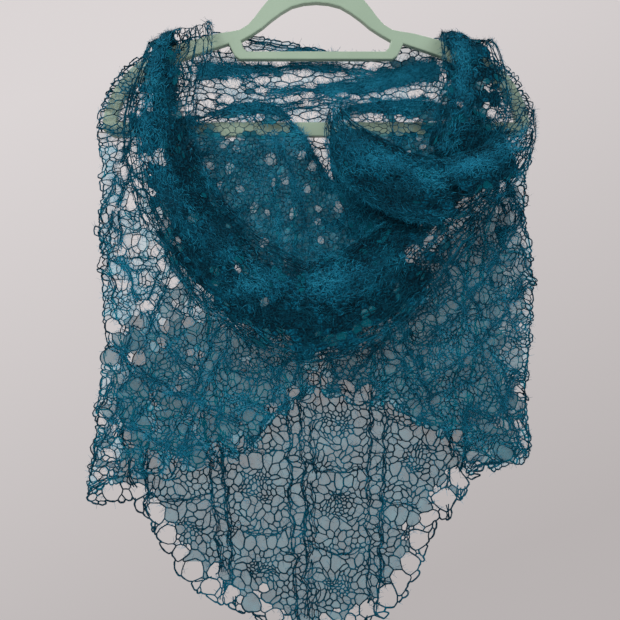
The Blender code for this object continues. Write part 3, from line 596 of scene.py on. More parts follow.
def strands(cells, ghosts):
    """Where two cells meet: each strand's start, middle and end, whether it lies on the edge, and its cells.
    Behind the neck the openings are wide and low, so neighbours are found with all above it drawn taller."""
    everything = np.vstack([cells, ghosts])
    ghost = np.arange(len(everything)) >= len(cells)
    taller = everything[:, 1] + NECK_SQUAT * np.minimum(everything[:, 1] - NECK_END, 0)
    found = delaunay_2d_cdt([Vector(p) for p in zip(everything[:, 0], taller)], [], [], 0, 1e-7)
    origin = np.array([group[0] for group in found[3]])
    corners = origin[np.array(found[2])]
    ends = np.sort(np.vstack([corners[:, [0, 1]], corners[:, [1, 2]], corners[:, [2, 0]]]), axis=1)
    owner = np.tile(np.arange(len(corners)), 3)

    def size(i, run):
        return 1 / np.sqrt((run[:, 0] / everything[i, 2]) ** 2 + (run[:, 1] / everything[i, 3]) ** 2)

    run = everything[ends[:, 1], :2] - everything[ends[:, 0], :2]
    towards = unit(run)
    first, second = size(ends[:, 0], towards), size(ends[:, 1], towards)
    divide = everything[ends[:, 0], :2] + run * (first / (first + second))[:, None]
    joint = np.zeros((len(corners), 2))
    np.add.at(joint, owner, divide / 3)
    joint += RNG.normal(0, ROUGH * 0.5, joint.shape)
    order = np.lexsort((ends[:, 1], ends[:, 0]))
    ends, owner, divide = ends[order], owner[order], divide[order]
    pair = np.nonzero((ends[1:] == ends[:-1]).all(1))[0]
    a, b = joint[owner[pair]], joint[owner[pair + 1]]
    middle = 0.45 * divide[pair] + 0.275 * (a + b) + RNG.normal(0, ROUGH * 0.4, (len(pair), 2))
    ghosts_in = ghost[ends[pair]].sum(1)
    keep = (ghosts_in < 2) & (np.linalg.norm(a - b, axis=1) < 0.030)
    return a[keep], middle[keep], b[keep], ghosts_in[keep] == 1, ends[pair][keep]


def new_mesh(name, vertices, faces, looks):
    """An object from an array of vertices, arrays of faces, and one material for each array of faces."""
    mesh = bpy.data.meshes.new(name)
    mesh.vertices.add(len(vertices))
    mesh.vertices.foreach_set("co", vertices.astype(np.float32).ravel())
    corners = np.concatenate([f.ravel() for f in faces]).astype(np.int32)
    sizes = np.concatenate([np.full(len(f), f.shape[1]) for f in faces])
    mesh.loops.add(len(corners))
    mesh.loops.foreach_set("vertex_index", corners)
    mesh.polygons.add(len(sizes))
    mesh.polygons.foreach_set("loop_start", (np.cumsum(sizes) - sizes).astype(np.int32))
    mesh.polygons.foreach_set("use_smooth", np.ones(len(sizes), bool))
    slots = np.concatenate([np.full(len(f), i) for i, f in enumerate(faces)])
    mesh.polygons.foreach_set("material_index", slots.astype(np.int32))
    for look in looks:
        mesh.materials.append(look)
    mesh.update(calc_edges=True)
    obj = bpy.data.objects.new(name, mesh)
    bpy.context.scene.collection.objects.link(obj)
    return obj


def tubes(start, end, facing, radius):
    """Three-sided tubes from each start to each end."""
    run = unit(end - start, 1e-12)
    side = unit(np.cross(run, facing), 1e-12)
    over = np.cross(side, run)
    round_it = [radius[:, None] * (math.cos(t) * side + math.sin(t) * over) for t in SIDES]
    vertices = np.stack([point + away for point in (start, end) for away in round_it], axis=1)
    base = np.arange(len(start))[:, None] * 6
    faces = np.stack([base + [i, (i + 1) % 3, (i + 1) % 3 + 3, i + 3] for i in range(3)], axis=1)
    return vertices.reshape(-1, 3), faces.reshape(-1, 4)


def strayed(points, amount, hung_up):
    """The net pulled out of true, less so up on the hanger where it is hung there."""
    pull = np.full(len(points), amount)
    if hung_up:
        pull = amount * np.clip((points[:, 1] - 0.23) / 0.03, 0.3, 1)
    off = np.stack([ripple(points, 0.024, 71), ripple(points, 0.024, 72)], axis=1)
    return points + pull[:, None] * off


def clear_of(start, end, cells, least=0.0044):
    """Which stretches of cord keep out of the largest openings."""
    middle = (start + end) / 2
    keep = np.ones(len(middle), bool)
    for a, d, w, h in cells[size_of(cells) > least]:
        keep &= ((middle[:, 0] - a) / w) ** 2 + ((middle[:, 1] - d) / h) ** 2 > 0.80
    return keep


def knit(
    name, cells, outline, place, thick, felt, cords, haze, painted_shading=None, stray=0.0042, painted_shade_strands=None, edging=1.25
):
    """The net of one stretch, what its fibres need of it, and its films of down. thick gives a strand's share
    of the usual radius at each point, felt whether each cell is matted shut, cords are pairs of a line and its
    radius, haze pairs each material of down with a test of the cells it lies across, painted_shading tells
    which matted cells lie in the hollows and get the darker felt of painted shade, and painted_shade_strands
    which strands of a roll lie in its thick and get the darker yarn of painted shade."""
    border = rim(outline)
    a, middle, b, edge, beside = strands(cells, border)
    radius = STRAND * thick(middle) * RNG.uniform(0.78, 1.22, len(a))
    radius[edge] *= edging
    bent = np.linalg.norm(b - a, axis=1) > STRAIGHT
    from_cord = np.vstack([line[:-1] for line, _ in cords])
    to_cord = np.vstack([line[1:] for line, _ in cords])
    cord = np.concatenate([np.full(len(line) - 1, r) for line, r in cords])
    within = inside(from_cord, outline) & inside(to_cord, outline) & clear_of(from_cord, to_cord, cells)
    cord = cord * RNG.uniform(0.85, 1.15, len(cord))
    start = np.vstack([a[~bent], a[bent], middle[bent], from_cord[within]])
    end = np.vstack([b[~bent], middle[bent], b[bent], to_cord[within]])
    radii = np.concatenate([radius[~bent], radius[bent], radius[bent], cord[within]])
    none = np.zeros(len(border), bool)
    shut = np.concatenate([felt(cells[:, :2]) & (size_of(cells) < MATTED_UNDER), none])
    middles = np.vstack([cells[:, :2], border[:, :2]])
    # Matted cells in painted shade get the darker felt.
    painted_shade = np.zeros(len(middles), bool) if painted_shading is None else painted_shading(middles)

    def uneven(points, most):
        return most * ripple(points, 0.006, 5)

    def true_to(points):
        return strayed(points, stray, painted_shade_strands is None)

    def across(chosen):
        sides = []
        for side in (0, 1):
            whose = beside[:, side]
            pick = chosen[whose]
            sides.append(np.stack([middles[whose[pick]], a[pick], b[pick]], axis=1))
        flat = true_to(np.concatenate(sides).reshape(-1, 2))
        return place(flat, -FILM_BEHIND + uneven(flat, 0.0002))[0]

    start, end = true_to(start), true_to(end)
    from_xyz, from_facing = place(start, uneven(start, 0.0004))
    to_xyz, _ = place(end, uneven(end, 0.0004))
    vertices, faces = tubes(from_xyz, to_xyz, from_facing, radii)
    # Strands in the thick of a roll get the darker copy of the yarn: painted shade.
    painted_shade_faces = np.zeros(len(faces), bool) if painted_shade_strands is None else np.repeat(painted_shade_strands(start), len(SIDES))
    looks, groups = [YARN, PAINTED_SHADE_YARN], [faces[~painted_shade_faces], faces[painted_shade_faces]]
    for look, flat in ((FELT, across(shut & ~painted_shade)), (PAINTED_SHADE_FELT, across(shut & painted_shade))):
        if len(flat):
            groups.append(len(vertices) + np.arange(len(flat)).reshape(-1, 3))
            vertices = np.vstack([vertices, flat])
            looks.append(look)
    net = new_mesh(name, vertices, groups, looks)
    films = []
    for look, covers in haze:
        flat = across(np.concatenate([covers(cells), none]) & ~shut)
        faces = np.arange(len(flat)).reshape(-1, 3)
        films.append(new_mesh(f"{name[:-4]}_down{len(films) + 1}", flat, [faces], [look]))
    return net, (from_xyz, to_xyz, from_facing, start), films


def fuzz(name, roots, count, length, stand, width, where, painted_shading, bends=False, grain=None):
    """Loose fibres: thin ribbons that start on the strands and curl away from them. where weighs the places
    they start at, painted_shading is the share of them given the brighter colour of painted highlight, and
    grain the place function of a stretch whose fibres lie along it."""
    start_at, end_at, facings, cloth = roots
    long = np.linalg.norm(end_at - start_at, axis=1) * where(cloth)
    root = RNG.choice(len(start_at), count, p=long / long.sum())
    share = RNG.uniform(0, 1, count)[:, None]
    start = start_at[root] * (1 - share) + end_at[root] * share
    facing = facings[root]
    spin = RNG.uniform(0, 2 * math.pi, count)
    if grain is None:
        right = np.cross(facing, [0.0, 0.0, 1.0])
    else:
        right = grain(cloth[root] + [0.001, 0], 0.0)[0] - grain(cloth[root], 0.0)[0]
        spin = RNG.normal(0, 0.6, count) + math.pi * RNG.integers(0, 2, count)
    right = unit(right, 1e-9)
    down = np.cross(right, facing)
    lie = right * np.cos(spin)[:, None] + down * np.sin(spin)[:, None]
    turn_to = right * -np.sin(spin)[:, None] + down * np.cos(spin)[:, None]
    long = length * RNG.uniform(0.45, 1.25, count)[:, None]
    lift = RNG.normal(0.35, 0.55, count)[:, None] * stand
    bend = RNG.normal(0, 0.8, count)[:, None]
    half = start + (lie * 0.5 + turn_to * 0.14 * bend + facing * lift * 0.55) * long
    end = start + (lie * 0.90 + turn_to * 0.48 * bend + facing * lift * 0.80) * long
    wide = width * RNG.uniform(0.75, 1.3, count)[:, None]
    across = np.cross(lie, facing)
    across += facing * RNG.normal(0, 0.4, count)[:, None]
    across = unit(across)
    stops = [(start, 1.0), (half, 0.85), (end, 0.35)] if bends else [(start, 1.0), (end, 0.5)]
    sides = [point + sign * across * wide * share for point, share in stops for sign in (-1, 1)]
    vertices = np.stack(sides, axis=1).reshape(-1, 3)
    base = np.arange(count)[:, None] * len(sides)
    faces = [base + [2 * k, 2 * k + 1, 2 * k + 3, 2 * k + 2] for k in range(len(stops) - 1)]
    faces = np.stack(faces, axis=1)
    painted_highlight_mask = RNG.uniform(0, 1, count) < painted_shading(cloth[root])
    groups = [faces[~painted_highlight_mask].reshape(-1, 4), faces[painted_highlight_mask].reshape(-1, 4)]
    return new_mesh(name, vertices, groups, [FIBRE, PAINTED_HIGHLIGHT_FIBRE])


# The lace chart, in cloth of its own: u across and v down, with a rib at every multiple of the repeat


def turned_chart(origin, turn):
    """A chart laid over the cloth at an angle: how to go from the cloth to the chart, and back."""
    right = np.array([math.cos(turn), math.sin(turn)])
    down = np.array([-math.sin(turn), math.cos(turn)])

    def to_chart(points):
        return np.stack([(points - origin) @ right, (points - origin) @ down], axis=1)

    def to_cloth(chart):
        return origin + chart[:, :1] * right + chart[:, 1:2] * down

    return to_chart, to_cloth


def fanned_chart():
    """The back's chart, whose ribs draw together towards the point and lean with the middle one."""

    def rib_and_pitch(drop):
        return -0.022 + 0.040 * (drop - 0.5), 0.085 - 0.065 * np.clip(drop - 0.5, -0.2, 0.3)

    def to_chart(points):
        spine, wide = rib_and_pitch(points[:, 1])
        return np.stack([(points[:, 0] - spine) / wide * REPEAT_WIDE, points[:, 1] - CHART_TOP], axis=1)

    def to_cloth(chart):
        drop = chart[:, 1] + CHART_TOP
        spine, wide = rib_and_pitch(drop)
        return np.stack([spine + chart[:, 0] / REPEAT_WIDE * wide, drop], axis=1)

    return to_chart, to_cloth


def middles_of(column):
    """Where a column of the chart has the middles of its medallions."""
    phase = COLUMN_PHASE[(column + 5) % len(COLUMN_PHASE)]
    return [((column + 0.5) * REPEAT_WIDE, (row + phase) * REPEAT_TALL) for row in ROWS]


def repeat_of(chart):
    """Each point's place in its repeat: across from the medallion's middle, down from it, and from the rib."""
    column = np.floor(chart[:, 0] / REPEAT_WIDE).astype(int)
    phase = np.array(COLUMN_PHASE)[np.mod(column + 5, len(COLUMN_PHASE))]
    x = chart[:, 0] - (column + 0.5) * REPEAT_WIDE
    v = chart[:, 1] / REPEAT_TALL - phase
    y = (v - np.round(v)) * REPEAT_TALL
    return x, y, REPEAT_WIDE / 2 - np.abs(x)


def crest(x):
    """How far above a medallion's middle its sagging ridge runs."""
    return -0.0335 - 0.0075 * (x / 0.031) ** 2


def charted(outline, to_cloth, margin=0.004):
    """The cells that every repeat has: tall eyelets under the ridge, a ring round the core, the ribs' ladder."""
    cells = []
    for column in COLUMNS:
        rib_u = column * REPEAT_WIDE
        for k in range(-10, 60):
            v = k * RIB_STEP + 0.004 * (column % 3)
            cells.append((rib_u, v, 0.0040, 0.0068))
            for rail in (-RIB_RAIL, RIB_RAIL):
                cells.append((rib_u + rail, v + 0.0036, 0.0014, 0.0034))
                cells.append((rib_u + rail, v - 0.0040, 0.0014, 0.0034))
        for u0, v0 in middles_of(column):
            for x in (-0.0225, -0.0115, 0.0, 0.0115, 0.0225):
                cells.append((u0 + x, v0 + crest(x) + 0.0092, 0.0045, 0.0066))
            for x in np.arange(-0.0275, 0.028, 0.0055):
                cells.append((u0 + x, v0 + crest(x) - 0.0024, 0.0024, 0.0018))
            for angle in np.radians([-14, 14, 42, 70, 98, 126, 154, 182, 206]):
                u, v = 0.0215 * math.cos(angle), 0.0195 * math.sin(angle) + 0.002
                cells.append((u0 + u, v0 + v, 0.0038, 0.0042))
    cells = np.array(cells)
    points = to_cloth(cells[:, :2]) + RNG.normal(0, 0.0005, (len(cells), 2))
    sizes = cells[:, 2:] * RNG.uniform(0.86, 1.16, (len(cells), 1))
    keep = inside(points, outline) & (from_line(points, closed(outline)) > margin)
    return np.hstack([points, sizes])[keep]


def wander(line, amount, pitch):
    """The line, drifting to its two sides."""
    seed = int(RNG.integers(1, 9999))
    off = np.stack([ripple(line, pitch, seed), ripple(line, pitch, seed + 1)], axis=1)
    return line + amount * off


def frayed(line, radius, keep=0.86):
    """A cord in stretches, each a little off the last, so that none runs on like a wire."""
    cords = []
    at = 0
    while at < len(line) - 2:
        count = int(RNG.integers(5, 16))
        part = line[at:at + count]
        if len(part) > 2 and RNG.uniform() < keep:
            cords.append((part + RNG.normal(0, 0.0006, 2), radius * RNG.uniform(0.75, 1.2)))
        at += count - 1
    return cords


def chart_cords(to_cloth, first=-0.05):
    """The drawn-up yarns along the two rails of every rib and along every ridge."""
    cords = []
    down = np.arange(first, 0.65, 0.0047)
    over = np.arange(-0.031, 0.032, 0.0040)
    for column in COLUMNS:
        for rail in (-RIB_RAIL, RIB_RAIL):
            for twist in (0.0, 2.1, 4.2):
                over_and_under = rail + 0.0011 * np.sin(down / 0.0045 + twist)
                chart = np.stack([column * REPEAT_WIDE + over_and_under, down], axis=1)
                cords += frayed(wander(to_cloth(chart), 0.0014, 0.05), 0.00066, 0.95)
        for u0, v0 in middles_of(column):
            if v0 < first:
                continue
            for twist in (0.0, 3.1):
                sag = crest(over) + 0.0010 * np.sin(over / 0.0036 + twist)
                chart = np.stack([u0 + over, v0 + sag], axis=1)
                cords += frayed(wander(to_cloth(chart), 0.0017, 0.03), 0.00062, 0.92)
    return cords


def bundle(rows, count, spread, radius=0.00055):
    """Yarns gathered into one loose band along a line."""
    line = along([(a, d, 0.0) for a, d in rows], 0.0050)[:, :2]
    heading = headings_of(line)
    side = np.stack([-heading[:, 1], heading[:, 0]], axis=1)
    cords = []
    for k in range(count):
        off = spread * (2 * (k + 0.5) / count - 1)
        drift = 1 + 0.5 * np.sin(np.arange(len(line)) / 4.0 + 1.7 * k)
        cords += frayed(wander(line + side * (off * drift)[:, None], 0.0016, 0.03), radius, 0.92)
    return cords


def fold_cords(folds, radius=0.00055, count=4):
    """Yarns drawn together along the crest of each fold."""
    cords = []
    for a1, d1, a2, d2, bow, width, rise in folds:
        if rise < 0.0030:
            continue
        run = np.array([a2 - a1, d2 - d1])
        reach = np.linalg.norm(run)
        side = np.array([-run[1], run[0]]) / reach
        share = np.linspace(0.02, 0.98, max(4, round(reach / 0.0050)))[:, None]
        for k in range(count):
            apart = 0.0030 * (2 * (k + 0.5) / count - 1) * (0.6 + 1.8 * np.abs(2 * share - 1) ** 2)
            line = (a1, d1) + share * run + (bow * 4 * share * (1 - share) + apart) * side
            cords += frayed(wander(line, 0.0022, 0.03), radius, 0.8)
    return cords


def hem_loops(rows, pitch, inside_by, size, outline):
    """The open loops along a hem."""
    line = along(rows, pitch)
    points = line - downward_of(line) * inside_by
    upward = line + np.array([0, -1]) * inside_by
    points = np.where(inside(points, outline)[:, None], points, upward)
    points = points[inside(points, outline)]
    sizes = size * RNG.uniform(0.8, 1.15, (len(points), 1)) * [[1.0, 1.05]]
    return np.hstack([points, sizes])


def without_clash(first, second):
    """The second set's cells that stay clear of every one in the first."""
    keep = np.ones(len(second), bool)
    for a, d, w, h in first:
        x, y = (second[:, 0] - a) / (second[:, 2] + w), (second[:, 1] - d) / (second[:, 3] + h)
        keep &= x * x + y * y > CLASH
    return np.vstack([first, second[keep]])


def lace_sizes(to_chart, general):
    """How large the openings of the lace are: small in a medallion's core, narrow beside the ribs."""

    def size_at(points):
        x, y, rib = repeat_of(to_chart(points))
        core = (x / CORE_WIDE) ** 2 + (y / CORE_TALL) ** 2 < 1
        beside = rib < 0.012
        wide = np.where(core, 0.0015, np.where(beside, 0.0020, general))
        tall = np.where(core, 0.0016, np.where(beside, 0.0036, general * 1.12))
        uneven = (1 + 0.18 * ripple(points, 0.02, 3)) * RNG.uniform(0.78, 1.28, len(points))
        return wide * uneven, tall * uneven

    return size_at


def even(value):
    """The same value at every point."""
    return lambda points: np.full(len(points), value)


def mottled(points, share, seed, pitch=0.022, rough=0.12):
    """True over rough-edged patches that cover about this share of the cloth."""
    field = 0.5 + 0.75 * ripple(points, pitch, seed) + 0.20 * ripple(points, pitch / 3, seed + 1)
    return (field + RNG.normal(0, rough, len(points)) < share) & (share > 0.12)


def patches(points, table):
    """How thick the cloth is gathered at each point, from a table of soft-edged patches."""
    share = np.zeros(len(points))
    for a, d, w, h, most in table:
        away = ((points[:, 0] - a) / w) ** 2 + ((points[:, 1] - d) / h) ** 2
        share = np.maximum(share, most * np.exp(-(away ** 1.5)))
    return share


# Materials


def shader(name, roughness, shine=0.05, sheen=0.0, sheen_colour=(1, 1, 1, 1)):
    made = bpy.data.materials.new(name)
    made.use_nodes = True
    nodes, links = made.node_tree.nodes, made.node_tree.links
    surface = nodes["Principled BSDF"]
    surface.inputs["Roughness"].default_value = roughness
    surface.inputs["Specular IOR Level"].default_value = shine
    surface.inputs["Sheen Weight"].default_value = sheen
    surface.inputs["Sheen Roughness"].default_value = 0.5
    surface.inputs["Sheen Tint"].default_value = sheen_colour
    return made, nodes, links, surface


def varied(nodes, links, target, stops, scale, detail=4.0):
    """Colour that wanders between the stops, from noise fixed to the object."""
    place = nodes.new("ShaderNodeTexCoord")
    noise = nodes.new("ShaderNodeTexNoise")
    noise.inputs["Scale"].default_value = scale
    noise.inputs["Detail"].default_value = detail
    ramp = nodes.new("ShaderNodeValToRGB")
    while len(ramp.color_ramp.elements) < len(stops):
        ramp.color_ramp.elements.new(0.5)
    for element, (at, colour) in zip(ramp.color_ramp.elements, stops):
        element.position = at
        element.color = (*colour, 1)
    links.new(place.outputs["Object"], noise.inputs["Vector"])
    links.new(noise.outputs["Fac"], ramp.inputs["Fac"])
    links.new(ramp.outputs["Color"], target)
    return noise


def textured(nodes, links, surface, noise, strength, depth=0.0002):
    """Roughness that wanders with the noise round the shader's own, and a fine bump."""
    middle = surface.inputs["Roughness"].default_value
    span = nodes.new("ShaderNodeMapRange")
    span.inputs["From Min"].default_value = 0.3
    span.inputs["From Max"].default_value = 0.7
    span.inputs["To Min"].default_value = middle - 0.08
    span.inputs["To Max"].default_value = middle + 0.08
    bump = nodes.new("ShaderNodeBump")
    bump.inputs["Strength"].default_value = strength
    bump.inputs["Distance"].default_value = depth
    links.new(noise.outputs["Fac"], span.inputs["Value"])
    links.new(span.outputs["Result"], surface.inputs["Roughness"])
    links.new(noise.outputs["Fac"], bump.inputs["Height"])
    links.new(bump.outputs["Normal"], surface.inputs["Normal"])


TEAL, BRIGHT_TEAL = (0.02, 0.50, 0.70, 1), (0.02, 0.60, 0.80, 1)
YARN_STOPS = ((0.36, (0.0006, 0.016, 0.030)), (0.50, (0.0012, 0.033, 0.058)), (0.64, (0.0026, 0.082, 0.134)))
FELT_STOPS = ((0.36, (0.0002, 0.015, 0.029)), (0.50, (0.0008, 0.038, 0.068)), (0.66, (0.0028, 0.100, 0.164)))
DOWN_STOPS = ((0.34, (0.002, 0.150, 0.220)), (0.52, (0.004, 0.225, 0.320)), (0.72, (0.008, 0.320, 0.430)))
FIBRE_STOPS = ((0.30, (0.0008, 0.038, 0.066)), (0.52, (0.0018, 0.074, 0.124)), (0.74, (0.0040, 0.130, 0.208)))
PAINTED_HIGHLIGHT_STOPS = ((0.30, (0.0040, 0.115, 0.195)), (0.52, (0.0110, 0.190, 0.310)), (0.74, (0.0240, 0.290, 0.440)))


def mohair(name, stops, surface_looks, scale, bump, detail=4.0, depth=0.0002, dim=1.0, alpha=1.0):
    """The wool in one of its forms: surface_looks is its roughness, shine, sheen and the sheen's tint, and dim
    darkens every colour of the stops."""
    made, nodes, links, surface = shader(name, *surface_looks)
    stops = [(at, tuple(dim * c for c in colour)) for at, colour in stops]
    noise = varied(nodes, links, surface.inputs["Base Color"], stops, scale, detail)
    textured(nodes, links, surface, noise, bump, depth)
    surface.inputs["Alpha"].default_value = alpha
    return made


def yarn(name, dim):
    return mohair(name, YARN_STOPS, (0.80, 0.06, 0.04, TEAL), 45.0, 0.4, detail=8.0, dim=dim)


def matted(name, dim):
    return mohair(name, FELT_STOPS, (0.85, 0.04, 0.04, TEAL), 520.0, 0.5, depth=0.0004, dim=dim)


def down(name, alpha, dim):
    return mohair(name, DOWN_STOPS, (0.90, 0.02), 70.0, 0.2, dim=dim, alpha=alpha)


def fibre(name, stops):
    return mohair(name, stops, (0.70, 0.08, 0.06, BRIGHT_TEAL), 38.0, 0.3)


def plastic():
    """The hanger's sage green, a little uneven, with the fine grain of a moulding."""
    made, nodes, links, surface = shader("sage_plastic", 0.46, 0.5)
    stops = ((0.35, (0.240, 0.338, 0.250)), (0.65, (0.270, 0.372, 0.280)))
    varied(nodes, links, surface.inputs["Base Color"], stops, 14.0, 6.0)
    place = nodes.new("ShaderNodeTexCoord")
    grain = nodes.new("ShaderNodeTexNoise")
    grain.inputs["Scale"].default_value = 900.0
    grain.inputs["Detail"].default_value = 3.0
    links.new(place.outputs["Object"], grain.inputs["Vector"])
    textured(nodes, links, surface, grain, 0.10, 0.0003)
    return made


# The second yarn is the same yarn at half brightness: painted shade for strands in the thick of the rolls.
YARN, PAINTED_SHADE_YARN = yarn("mohair_yarn", 1.0), yarn("mohair_yarn_painted_shade", 0.5)
PLASTIC = plastic()
# The second felt is the same felt at under half brightness: painted shade for matted cells in the hollows.
FELT, PAINTED_SHADE_FELT = matted("mohair_felt", 1.0), matted("mohair_felt_painted_shade", 0.45)
# A brighter copy of the down: a faint film that is painted light shining through the haze.
PAINTED_LIGHT_DOWN = down("mohair_down_painted_light", 0.20, 2.3)
# The thin down is the mohair's haze across the openings and also painted shadow, the shawl's shade on the wall
# behind.
THIN_DOWN_PAINTED_SHADOW = down("mohair_down_thin_painted_shadow", 0.59, 0.56)
THICK_DOWN = down("mohair_down_thick", 0.91, 0.60)
# Denser down, and darker as painted shade in the gathers.
DENSE_DOWN_PAINTED_SHADE = down("mohair_down_dense_painted_shade", 0.94, 0.44)
# The darkest copy of the down: painted shade over the thick of the rolls.
PAINTED_SHADE_DOWN = down("mohair_down_painted_shade", 0.84, 0.32)
# The second fibre colour is brighter: painted highlight on the down.
FIBRE, PAINTED_HIGHLIGHT_FIBRE = fibre("mohair_fibre", FIBRE_STOPS), fibre("mohair_fibre_painted_highlight", PAINTED_HIGHLIGHT_STOPS)


# The stretches of the shawl


def worn(net, node, fibres):
    """Hides the solid that a net replaces, and puts the net and its other pieces on the body they ride on."""
    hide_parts(node)
    for piece in (net, *fibres):
        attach(piece, "root")


def back_panel():
    """The middle behind the hanger: gathers and wide openings at the neck, and the charted lace below them."""
    outline = np.vstack(
        [EDGES[0][::-1], along(NECK_EDGE, 0.0055)[1:-1], EDGES[1], scalloped(BACK_HEM)[::-1]]
    )
    border = closed(outline)
    to_chart, to_cloth = fanned_chart()
    loops = hem_loops(BACK_HEM, SCALLOP_PITCH, 0.0085, 0.0092, outline)
    loops = without_clash(loops, hem_loops(BACK_HEM, 0.0160, 0.0215, 0.0060, outline))
    chart = charted(outline, to_cloth)
    loops = without_clash(loops, EYELETS)
    cells = without_clash(loops, chart[chart[:, 1] > 0.245])
    lace = lace_sizes(to_chart, 0.0029)

    def size_at(points):
        wide, tall = lace(points)
        top = points[:, 1] < 0.240
        loose = (1 + 0.35 * ripple(points, 0.030, 61)) * RNG.uniform(0.45, 1.35, len(points))
        wing = np.clip((np.abs(points[:, 0]) - 0.12) / 0.03, 0, 1) * (points[:, 1] < 0.47)
        wide, tall = wide * (1 + 0.35 * wing), tall * (1 + 0.35 * wing)
        loose = loose * (1 - 0.50 * patches(points, BACK_THICK))
        return np.where(top, 0.0070 * loose, wide), np.where(top, 0.0033 * loose, tall)

    cells = scatter(cells, outline, size_at, 120000)
    cords = chart_cords(to_cloth, 0.14) + fold_cords(BACK_FOLDS[:7])
    for count, spread, rows in NECK_BANDS:
        cords += bundle(rows, count, spread)

    def felt(points):
        return mottled(points, 1.2 * patches(points, BACK_THICK) - 0.40, 91, 0.012)

    # The film across the tail's openings is the haze and also painted shadow of the shawl on the wall behind.
    def low_down(cells):
        points = cells[:, :2]
        from_hem = from_line(points, border) + RNG.normal(0, 0.005, len(cells))
        from_drop = np.where(points[:, 0] > 0.08, 0.25, 0.41) + 0.02 * ripple(points, 0.05, 66)
        return (points[:, 1] > from_drop) & (from_hem > 0.020)

    # The gathers behind the neck get the denser down, darker as painted shade.
    def neck_down(cells):
        gathers = 1.3 * patches(cells[:, :2], BACK_THICK)
        return (size_of(cells) < 0.0042) & mottled(cells[:, :2], gathers, 98)

    # Painted light: small openings get a faint film of the down's haze, brightened.
    def painted_light_down(cells):
        small = size_of(cells) < 0.0050
        return small & (cells[:, 1] < 0.41) & ~low_down(cells) & ~neck_down(cells)

    def heavy(points):
        return 1.0 + 0.38 * np.clip((points[:, 1] - 0.45) / 0.05, 0, 1) + 0.10 * (points[:, 1] < 0.22)

    downs = [(THIN_DOWN_PAINTED_SHADOW, low_down), (DENSE_DOWN_PAINTED_SHADE, neck_down), (PAINTED_LIGHT_DOWN, painted_light_down)]
    place = hung(back_out)
    net, roots, films = knit("back_panel_net", cells, outline, place, heavy, felt, cords, downs)

    def often(points):
        return (1.0 + 2.6 * (points[:, 1] < 0.22)) * np.clip(from_line(points, border) / 0.012, 0.12, 1)

    def in_gathers(points):
        inward = np.clip(from_line(points, border) / 0.010, 0.03, 1)
        return inward * (patches(points, BACK_THICK) + 0.02 * (points[:, 1] < 0.22))

    # Half of these fibres, and more of those in the neck, get the brighter colour of painted highlight.
    haze = fuzz("back_panel_fibres", roots, 40000, 0.0064, 0.4, 0.00016, often, even(0.50))
    neck = fuzz(
        "back_panel_neck_fibres", roots, 10000, 0.0080, 0.25, 0.00016, in_gathers, even(0.65), grain=place
    )
    worn(net, "back_panel", [haze, neck, *films])


def front(
    name, side, hem, inner, folds, gathers, seed, top_from, middle, opening, wing_wider, filmed, weight,
    hairs, painted_highlight_share
):
    """A stretch brought forward over one end of the hanger. middle is its chart's, opening the half width of a
    plain opening, wing_wider how much wider it is by the side edge, and filmed the share with down across."""
    edge = EDGES[0] if side < 0 else EDGES[1]
    line = scalloped(hem) if side < 0 else scalloped(hem)[::-1]
    outline = np.vstack([edge[edge[:, 0] * side > top_from], line[1:], along(inner, 0.010)])
    border = closed(outline)
    to_chart, to_cloth = turned_chart(np.array(middle), -0.40 * side)
    loops = hem_loops(hem, SCALLOP_PITCH, 0.0080, 0.0078, outline)
    loops = without_clash(loops, EYELETS[inside(EYELETS[:, :2], outline)])
    cells = without_clash(loops, charted(outline, to_cloth))
    lace = lace_sizes(to_chart, opening)

    def size_at(points):
        wide, tall = lace(points)
        wing = np.clip((np.abs(points[:, 0]) - 0.13) / 0.03, 0, 1) * np.clip((0.47 - points[:, 1]) / 0.04, 0, 1)
        scale = (1 + wing_wider * wing) * (1 - 0.35 * patches(points, gathers))
        scale = scale * (1 + 0.6 * patches(points, SHEER))
        return wide * scale, tall * scale

    cells = scatter(cells, outline, size_at, 70000)
    cords = chart_cords(to_cloth) + fold_cords(folds, 0.00062, 5)
    cords += bundle([(a, d - 0.004) for a, d in hem], 5, 0.0030, 0.00062)

    def felt(points):
        return mottled(points, 1.2 * patches(points, gathers) - 0.35, 92)

    def over(cells):
        points = cells[:, :2]
        share = filmed + patches(points, gathers) - 0.6 * (points[:, 1] < 0.42) * (points[:, 0] < -0.15)
        share = share * (1 - patches(points, SHEER))
        from_hem = from_line(points, border) + RNG.normal(0, 0.003, len(cells))
        return mottled(points, share, 94, 0.03) & (from_hem > 0.009)

    # Painted light: small openings get a faint film of the down's haze, brightened.
    def painted_light_over(cells):
        return (size_of(cells) < 0.0046) & ~over(cells) & (cells[:, 1] > 0.24)

    def slim(points):
        return weight * (1 - 0.4 * patches(points, SHEER))

    def often(points):
        near_edge = np.clip(from_line(points, border) / 0.012, 0.25, 1)
        return near_edge * (1 - 0.7 * patches(points, SHEER))

    place = hung(lambda points: front_out(points, folds, seed))
    downs = [(THIN_DOWN_PAINTED_SHADOW, over), (PAINTED_LIGHT_DOWN, painted_light_over)]
    net, roots, films = knit(name + "_net", cells, outline, place, slim, felt, cords, downs)
    haze = fuzz(name + "_fibres", roots, hairs, 0.0060, 0.5, 0.00014, often, even(painted_highlight_share))
    worn(net, name, [haze, *films])


